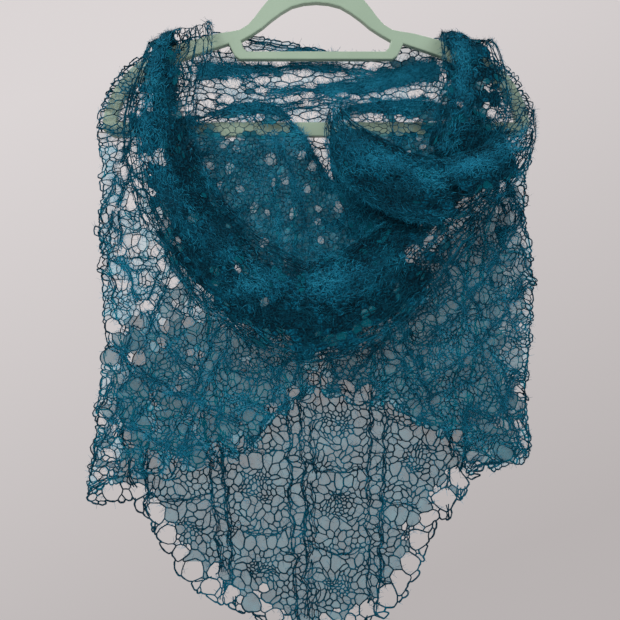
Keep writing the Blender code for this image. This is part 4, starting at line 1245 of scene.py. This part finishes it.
def fronts():
    # The left front gets more fibres in the brighter colour of painted highlight than the right.
    front(
        "left_front", side=-1, hem=LEFT_HEM, inner=LEFT_INNER, folds=LEFT_FOLDS, gathers=LEFT_THICK, seed=21,
        top_from=0.126, middle=(-0.052, 0.135), opening=0.0030, wing_wider=0.50, filmed=0.60, weight=1.0,
        hairs=25000, painted_highlight_share=0.85,
    )
    front(
        "right_front", side=1, hem=RIGHT_HEM, inner=RIGHT_INNER, folds=RIGHT_FOLDS, gathers=RIGHT_THICK, seed=22,
        top_from=0.132, middle=(0.046, 0.150), opening=0.0023, wing_wider=0.0, filmed=1.05, weight=1.08,
        hairs=27000, painted_highlight_share=0.42,
    )


def lobe(name, rows, roll, holes, top, depth, opening, seed, density, hairs):
    """A rounded fold of cloth inside the neck. Its first roll rows are the rolled lip, and density is how much
    of it is matted or has the denser down, whose darker colour is painted shade."""
    outline = along(rows, 0.006)
    lip = along(rows[:roll], 0.006)[:, :2]

    def size_at(points):
        uneven = opening * (1 + 0.30 * ripple(points, 0.035, seed) + 0.12 * ripple(points, 0.011, seed + 5))
        uneven = uneven * RNG.uniform(0.62, 1.45, len(points)) * (1 + 0.7 * patches(points, SHEER))
        near = np.exp(-((from_line(points, lip) / 0.007) ** 2))
        return uneven * (1 - 0.15 * near), uneven * 1.2 * (1 - 0.35 * near)

    def felt(points):
        near = np.exp(-((from_line(points, lip) / 0.008) ** 2))
        share = np.maximum(np.maximum(density - 0.42, patches(points, THICK)), 1.05 * near)
        return mottled(points, share * (1 - patches(points, SHEER)), seed + 60)

    # Painted shade: matted cells in the hollows of a lobe get the darker felt.
    def painted_shade(points):
        return mottled(points, 0.25 + patches(points, HOLLOWS), 95)

    def slim(points):
        return 0.86 * (1 - 0.4 * patches(points, SHEER))

    def lush(points):
        return 1 - patches(points, SHEER)

    # Painted highlight: more of the fibres on the crests get the brighter colour.
    def painted_highlight_share(points):
        return 0.38 + 0.6 * patches(points, CRESTS)

    off = RNG.normal(0, 0.001, (len(holes), 2))
    cells = scatter(np.array(holes) + np.pad(off, ((0, 0), (0, 2))), outline, size_at, 50000)
    cords = fold_cords(LOBE_FOLDS)
    cords += [(wander(lip + [0, 0.0025 * k], 0.0016, 0.03), 0.0006) for k in range(4)]
    dense = mottled(cells[:, :2], density + 0.15, 97, 0.030, 0.04)
    veiled = (patches(cells[:, :2], SHEER) > 0.40) & ~mottled(cells[:, :2], 0.34, 99, 0.024)
    small = size_of(cells) < 0.0033
    bare = veiled & (cells[:, 1] < RAIL_FOOT)
    # The thin down across the larger openings is the haze and also painted shadow of the shawl on the wall
    # behind.
    downs = [
        (THICK_DOWN, lambda _: small & ~dense & ~veiled),
        (DENSE_DOWN_PAINTED_SHADE, lambda _: small & dense & ~veiled),
        (THIN_DOWN_PAINTED_SHADOW, lambda _: (~small | veiled) & ~bare),
    ]
    place = hung(lambda points: lobe_out(points, top, depth, seed))
    net, roots, films = knit(
        name + "_net", cells, outline, place, slim, felt, cords, downs, painted_shading=painted_shade, stray=0.003
    )
    haze = fuzz(name + "_fibres", roots, hairs, 0.0068, 0.6, 0.00018, lush, painted_highlight_share)
    worn(net, name, [haze, *films])


def lobes():
    lobe(
        "left_lobe", LEFT_LOBE, roll=17, holes=LEFT_HOLES, top=0.0110, depth=0.010, opening=0.0021, seed=31,
        density=0.42, hairs=22000,
    )
    lobe(
        "right_lobe", RIGHT_LOBE, roll=10, holes=RIGHT_HOLES, top=0.0165, depth=0.006, opening=0.0020, seed=32,
        density=0.80, hairs=13000,
    )


def drape(name, rows, pleat_depth, half_arc, hairs, yarns, relief):
    """A gathered roll. relief is how much taller its openings grow where the roll narrows."""
    place, length, half_width = rolled(rows, half_arc, pleat_depth)
    reach = np.linspace(0, length, 60)
    ragged = half_arc * (0.75 + 0.08 * np.sin(reach * 90) + 0.05 * np.sin(reach * 230 + 1))
    upper, lower = np.stack([reach, -ragged], axis=1), np.stack([reach, ragged], axis=1)
    outline = np.vstack([upper, lower[::-1]])

    def seen(points):
        """Where the points are across and down the scene, as the tables of patches count."""
        xyz, _ = place(points, 0.0)
        return np.stack([xyz[:, 0], -xyz[:, 2]], axis=1)

    def thick_at(points):
        at = seen(points)
        return patches(at, THICK) * (1 - patches(at, SHEER))

    def crest_at(points):
        turn, row = CURL * points[:, 1] / half_arc, points[:, 0] / PLEAT_PITCH
        return 0.5 + 0.5 * np.cos(PLEATS * (turn + 0.5 * np.sin(0.25 * row)))

    def streak(points, seed):
        return ripple(points * [0.12, 1.0], 0.007, seed)

    # Painted shade: matted cells off the pleats' crests and in the hollows get the darker felt.
    def painted_shade(points):
        at = seen(points)
        share = 0.70 - 0.60 * crest_at(points) + patches(at, HOLLOWS) - 0.5 * patches(at, CRESTS)
        return mottled(points, share - 0.35 * streak(points, 48), 96, 0.012)

    def painted_highlight_share(points):
        # Painted highlight: fibres on the pleats' crests and the crest patches get the brighter colour, fewer in
        # the hollows.
        at = seen(points)
        share = 0.05 + 0.35 * crest_at(points) + 0.6 * patches(at, CRESTS) - 0.4 * patches(at, HOLLOWS)
        return share + 0.35 * streak(points, 48)

    def size_at(points):
        uneven = 1 + 0.26 * ripple(points, 0.030, 41) + 0.12 * ripple(points, 0.009, 42)
        thick, brim = thick_at(points), np.clip(np.abs(points[:, 1]) / half_arc - 0.55, 0, 1)
        wide = 0.0036 - 0.0013 * thick + 0.002 * brim
        squeezed = np.clip(0.9 * half_arc / half_width(points[:, 0]), 1.0, relief)
        return wide * uneven, (0.0027 - 0.0012 * thick + 0.002 * brim) * uneven * squeezed

    def felt(points):
        brim = np.clip(np.abs(points[:, 1]) / half_arc - 0.62, 0, 1) * 2.2
        return mottled(points, 1.15 * thick_at(points) - brim + 0.30 * streak(points, 49), 93)

    # Painted shade: strands where the roll is gathered thick get the darker yarn.
    def painted_shade_strands(points):
        return mottled(points, thick_at(points) + 0.15, 94, 0.012)

    # The down across small cells in the thick of a roll, in its darkest copy as painted shade.
    def covers(cells):
        return (size_of(cells) < 0.0027) & mottled(cells[:, :2], 0.20 + 1.2 * thick_at(cells[:, :2]), 98)

    def slim(points):
        return 0.88 * (1 - 0.4 * patches(seen(points), SHEER))

    def lush(points):
        at = seen(points)
        brim = 0.25 * (np.abs(points[:, 1]) > 0.55 * half_arc) + 0.15 * patches(at, SHEER)
        return 0.05 + brim + thick_at(points) * (0.10 + crest_at(points) ** 2 + patches(at, CRESTS))

    cells = scatter([], outline, size_at, 60000)
    cords = []
    for k in range(yarns):
        run = np.linspace(0.004, length - 0.004, round(length / 0.0060))
        over = half_arc * 0.68 * (2 * (k + 0.5) / yarns - 1)
        line = np.stack([run, over + 0.0040 * np.sin(run * 38 + 2.1 * k)], axis=1)
        cords += frayed(wander(line, 0.0024, 0.04), 0.00056)
    cords = [cord for cord in cords if patches(seen(cord[0]), SHEER).mean() < 0.4 or RNG.uniform() < 0.3]
    net, roots, films = knit(
        name + "_net", cells, outline, place, slim, felt, cords, [(PAINTED_SHADE_DOWN, covers)], painted_shading=painted_shade,
        stray=0.0022, painted_shade_strands=painted_shade_strands, edging=0.6,
    )
    haze = fuzz(name + "_fibres", roots, hairs, 0.0064, 0.38, 0.00015, lush, painted_highlight_share, bends=True, grain=place)
    worn(net, name, [haze, *films])


def drapes():
    for name, rows, pleat_depth, half_arc, hairs, yarns, relief, flat in (
        ("lower_cowl", LOWER_COWL, 0.0040, 0.050, 20000, 26, 1.2, (0.66, 0.21)),
        ("upper_cowl", UPPER_COWL, 0.0034, 0.034, 10500, 18, 3.0, (0.30, 0.15)),
        ("right_shoulder", RIGHT_SHOULDER, 0.0032, 0.038, 7500, 16, 1.2, (0.24, 0.13)),
    ):
        drape(name, rows, pleat_depth, half_arc, hairs, yarns, relief)


def hanger():
    """The hanger keeps its solids, with their flat faces shaded smooth where they curve."""
    for name in ("hanger_frame", "hanger_hook"):
        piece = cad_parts[name]
        piece.data.materials.clear()
        piece.data.materials.append(PLASTIC)
        for face in piece.data.polygons:
            face.use_smooth = True
        piece.data.set_sharp_from_angle(angle=math.radians(50))


def light(name, place, aim, size, power, colour=(1, 1, 1)):
    """A round, soft lamp at place, turned to aim."""
    data = bpy.data.lights.new(name, "AREA")
    data.shape, data.size, data.energy, data.color = "DISK", size, power, colour
    obj = bpy.data.objects.new(name, data)
    obj.location = place
    obj.rotation_euler = (Vector(aim) - Vector(place)).to_track_quat("-Z", "Y").to_euler()
    bpy.context.scene.collection.objects.link(obj)


def studio():
    """A pale floor well below the shawl, a pale grey surround, soft lights, and the photograph's camera."""
    half, level = 1.1, -1.35
    corners = [(x * half, y * half, level) for x, y in ((-1, -1), (1, -1), (1, 1), (-1, 1))]
    floor_mesh = bpy.data.meshes.new("floor")
    floor_mesh.from_pydata(corners, [], [(0, 1, 2, 3)])
    floor = bpy.data.objects.new("floor", floor_mesh)
    floor_material, _, _, surface = shader("pale_floor", 0.9)
    surface.inputs["Base Color"].default_value = (0.62, 0.60, 0.59, 1)
    floor_mesh.materials.append(floor_material)
    bpy.context.scene.collection.objects.link(floor)

    world = bpy.data.worlds.new("pale_surround")
    world.use_nodes = True
    nodes, links = world.node_tree.nodes, world.node_tree.links
    # The surround lights the scene; seen behind the shawl, its fall from light at the upper left to darker at
    # the bottom is painted light.
    place = nodes.new("ShaderNodeTexCoord")
    slant = nodes.new("ShaderNodeVectorMath")
    slant.operation = "DOT_PRODUCT"
    slant.inputs[1].default_value = (-0.45, 0.0, 1.0)
    ramp = nodes.new("ShaderNodeValToRGB")
    span = nodes.new("ShaderNodeMapRange")
    span.inputs["From Min"].default_value = -0.36
    span.inputs["From Max"].default_value = 0.36
    ramp.color_ramp.elements[0].color = (0.480, 0.448, 0.446, 1)
    ramp.color_ramp.elements[1].color = (0.710, 0.668, 0.668, 1)
    links.new(place.outputs["Generated"], slant.inputs[0])
    links.new(slant.outputs["Value"], span.inputs["Value"])
    links.new(span.outputs["Result"], ramp.inputs["Fac"])
    links.new(ramp.outputs["Color"], nodes["Background"].inputs["Color"])
    nodes["Background"].inputs["Strength"].default_value = 1.0
    bpy.context.scene.world = world
    bpy.context.scene.view_settings.view_transform = "Standard"

    light("key", (-0.9, -1.5, 0.6), (0, 0, -0.35), 1.1, 22, (1.0, 0.98, 0.96))
    light("fill", (1.2, -1.3, -0.1), (0, 0, -0.4), 1.2, 9, (0.95, 0.98, 1.0))
    light("rear", (0.2, 1.4, 0.5), (0, 0, -0.4), 1.2, 10)

    camera = bpy.data.objects.new("camera", bpy.data.cameras.new("camera"))
    camera.data.lens, camera.data.sensor_width = LENS, SENSOR
    distance = PICTURE * PIXEL * LENS / SENSOR
    camera.location = (VIEW_MIDDLE[0], -distance, -VIEW_MIDDLE[1])
    camera.rotation_euler = (math.pi / 2, 0, 0)
    bpy.context.scene.collection.objects.link(camera)
    bpy.context.scene.camera = camera


for light_object in [o for o in bpy.data.objects if o.type == "LIGHT"]:
    bpy.data.objects.remove(light_object)
studio()
drapes()
lobes()
fronts()
back_panel()
hanger()
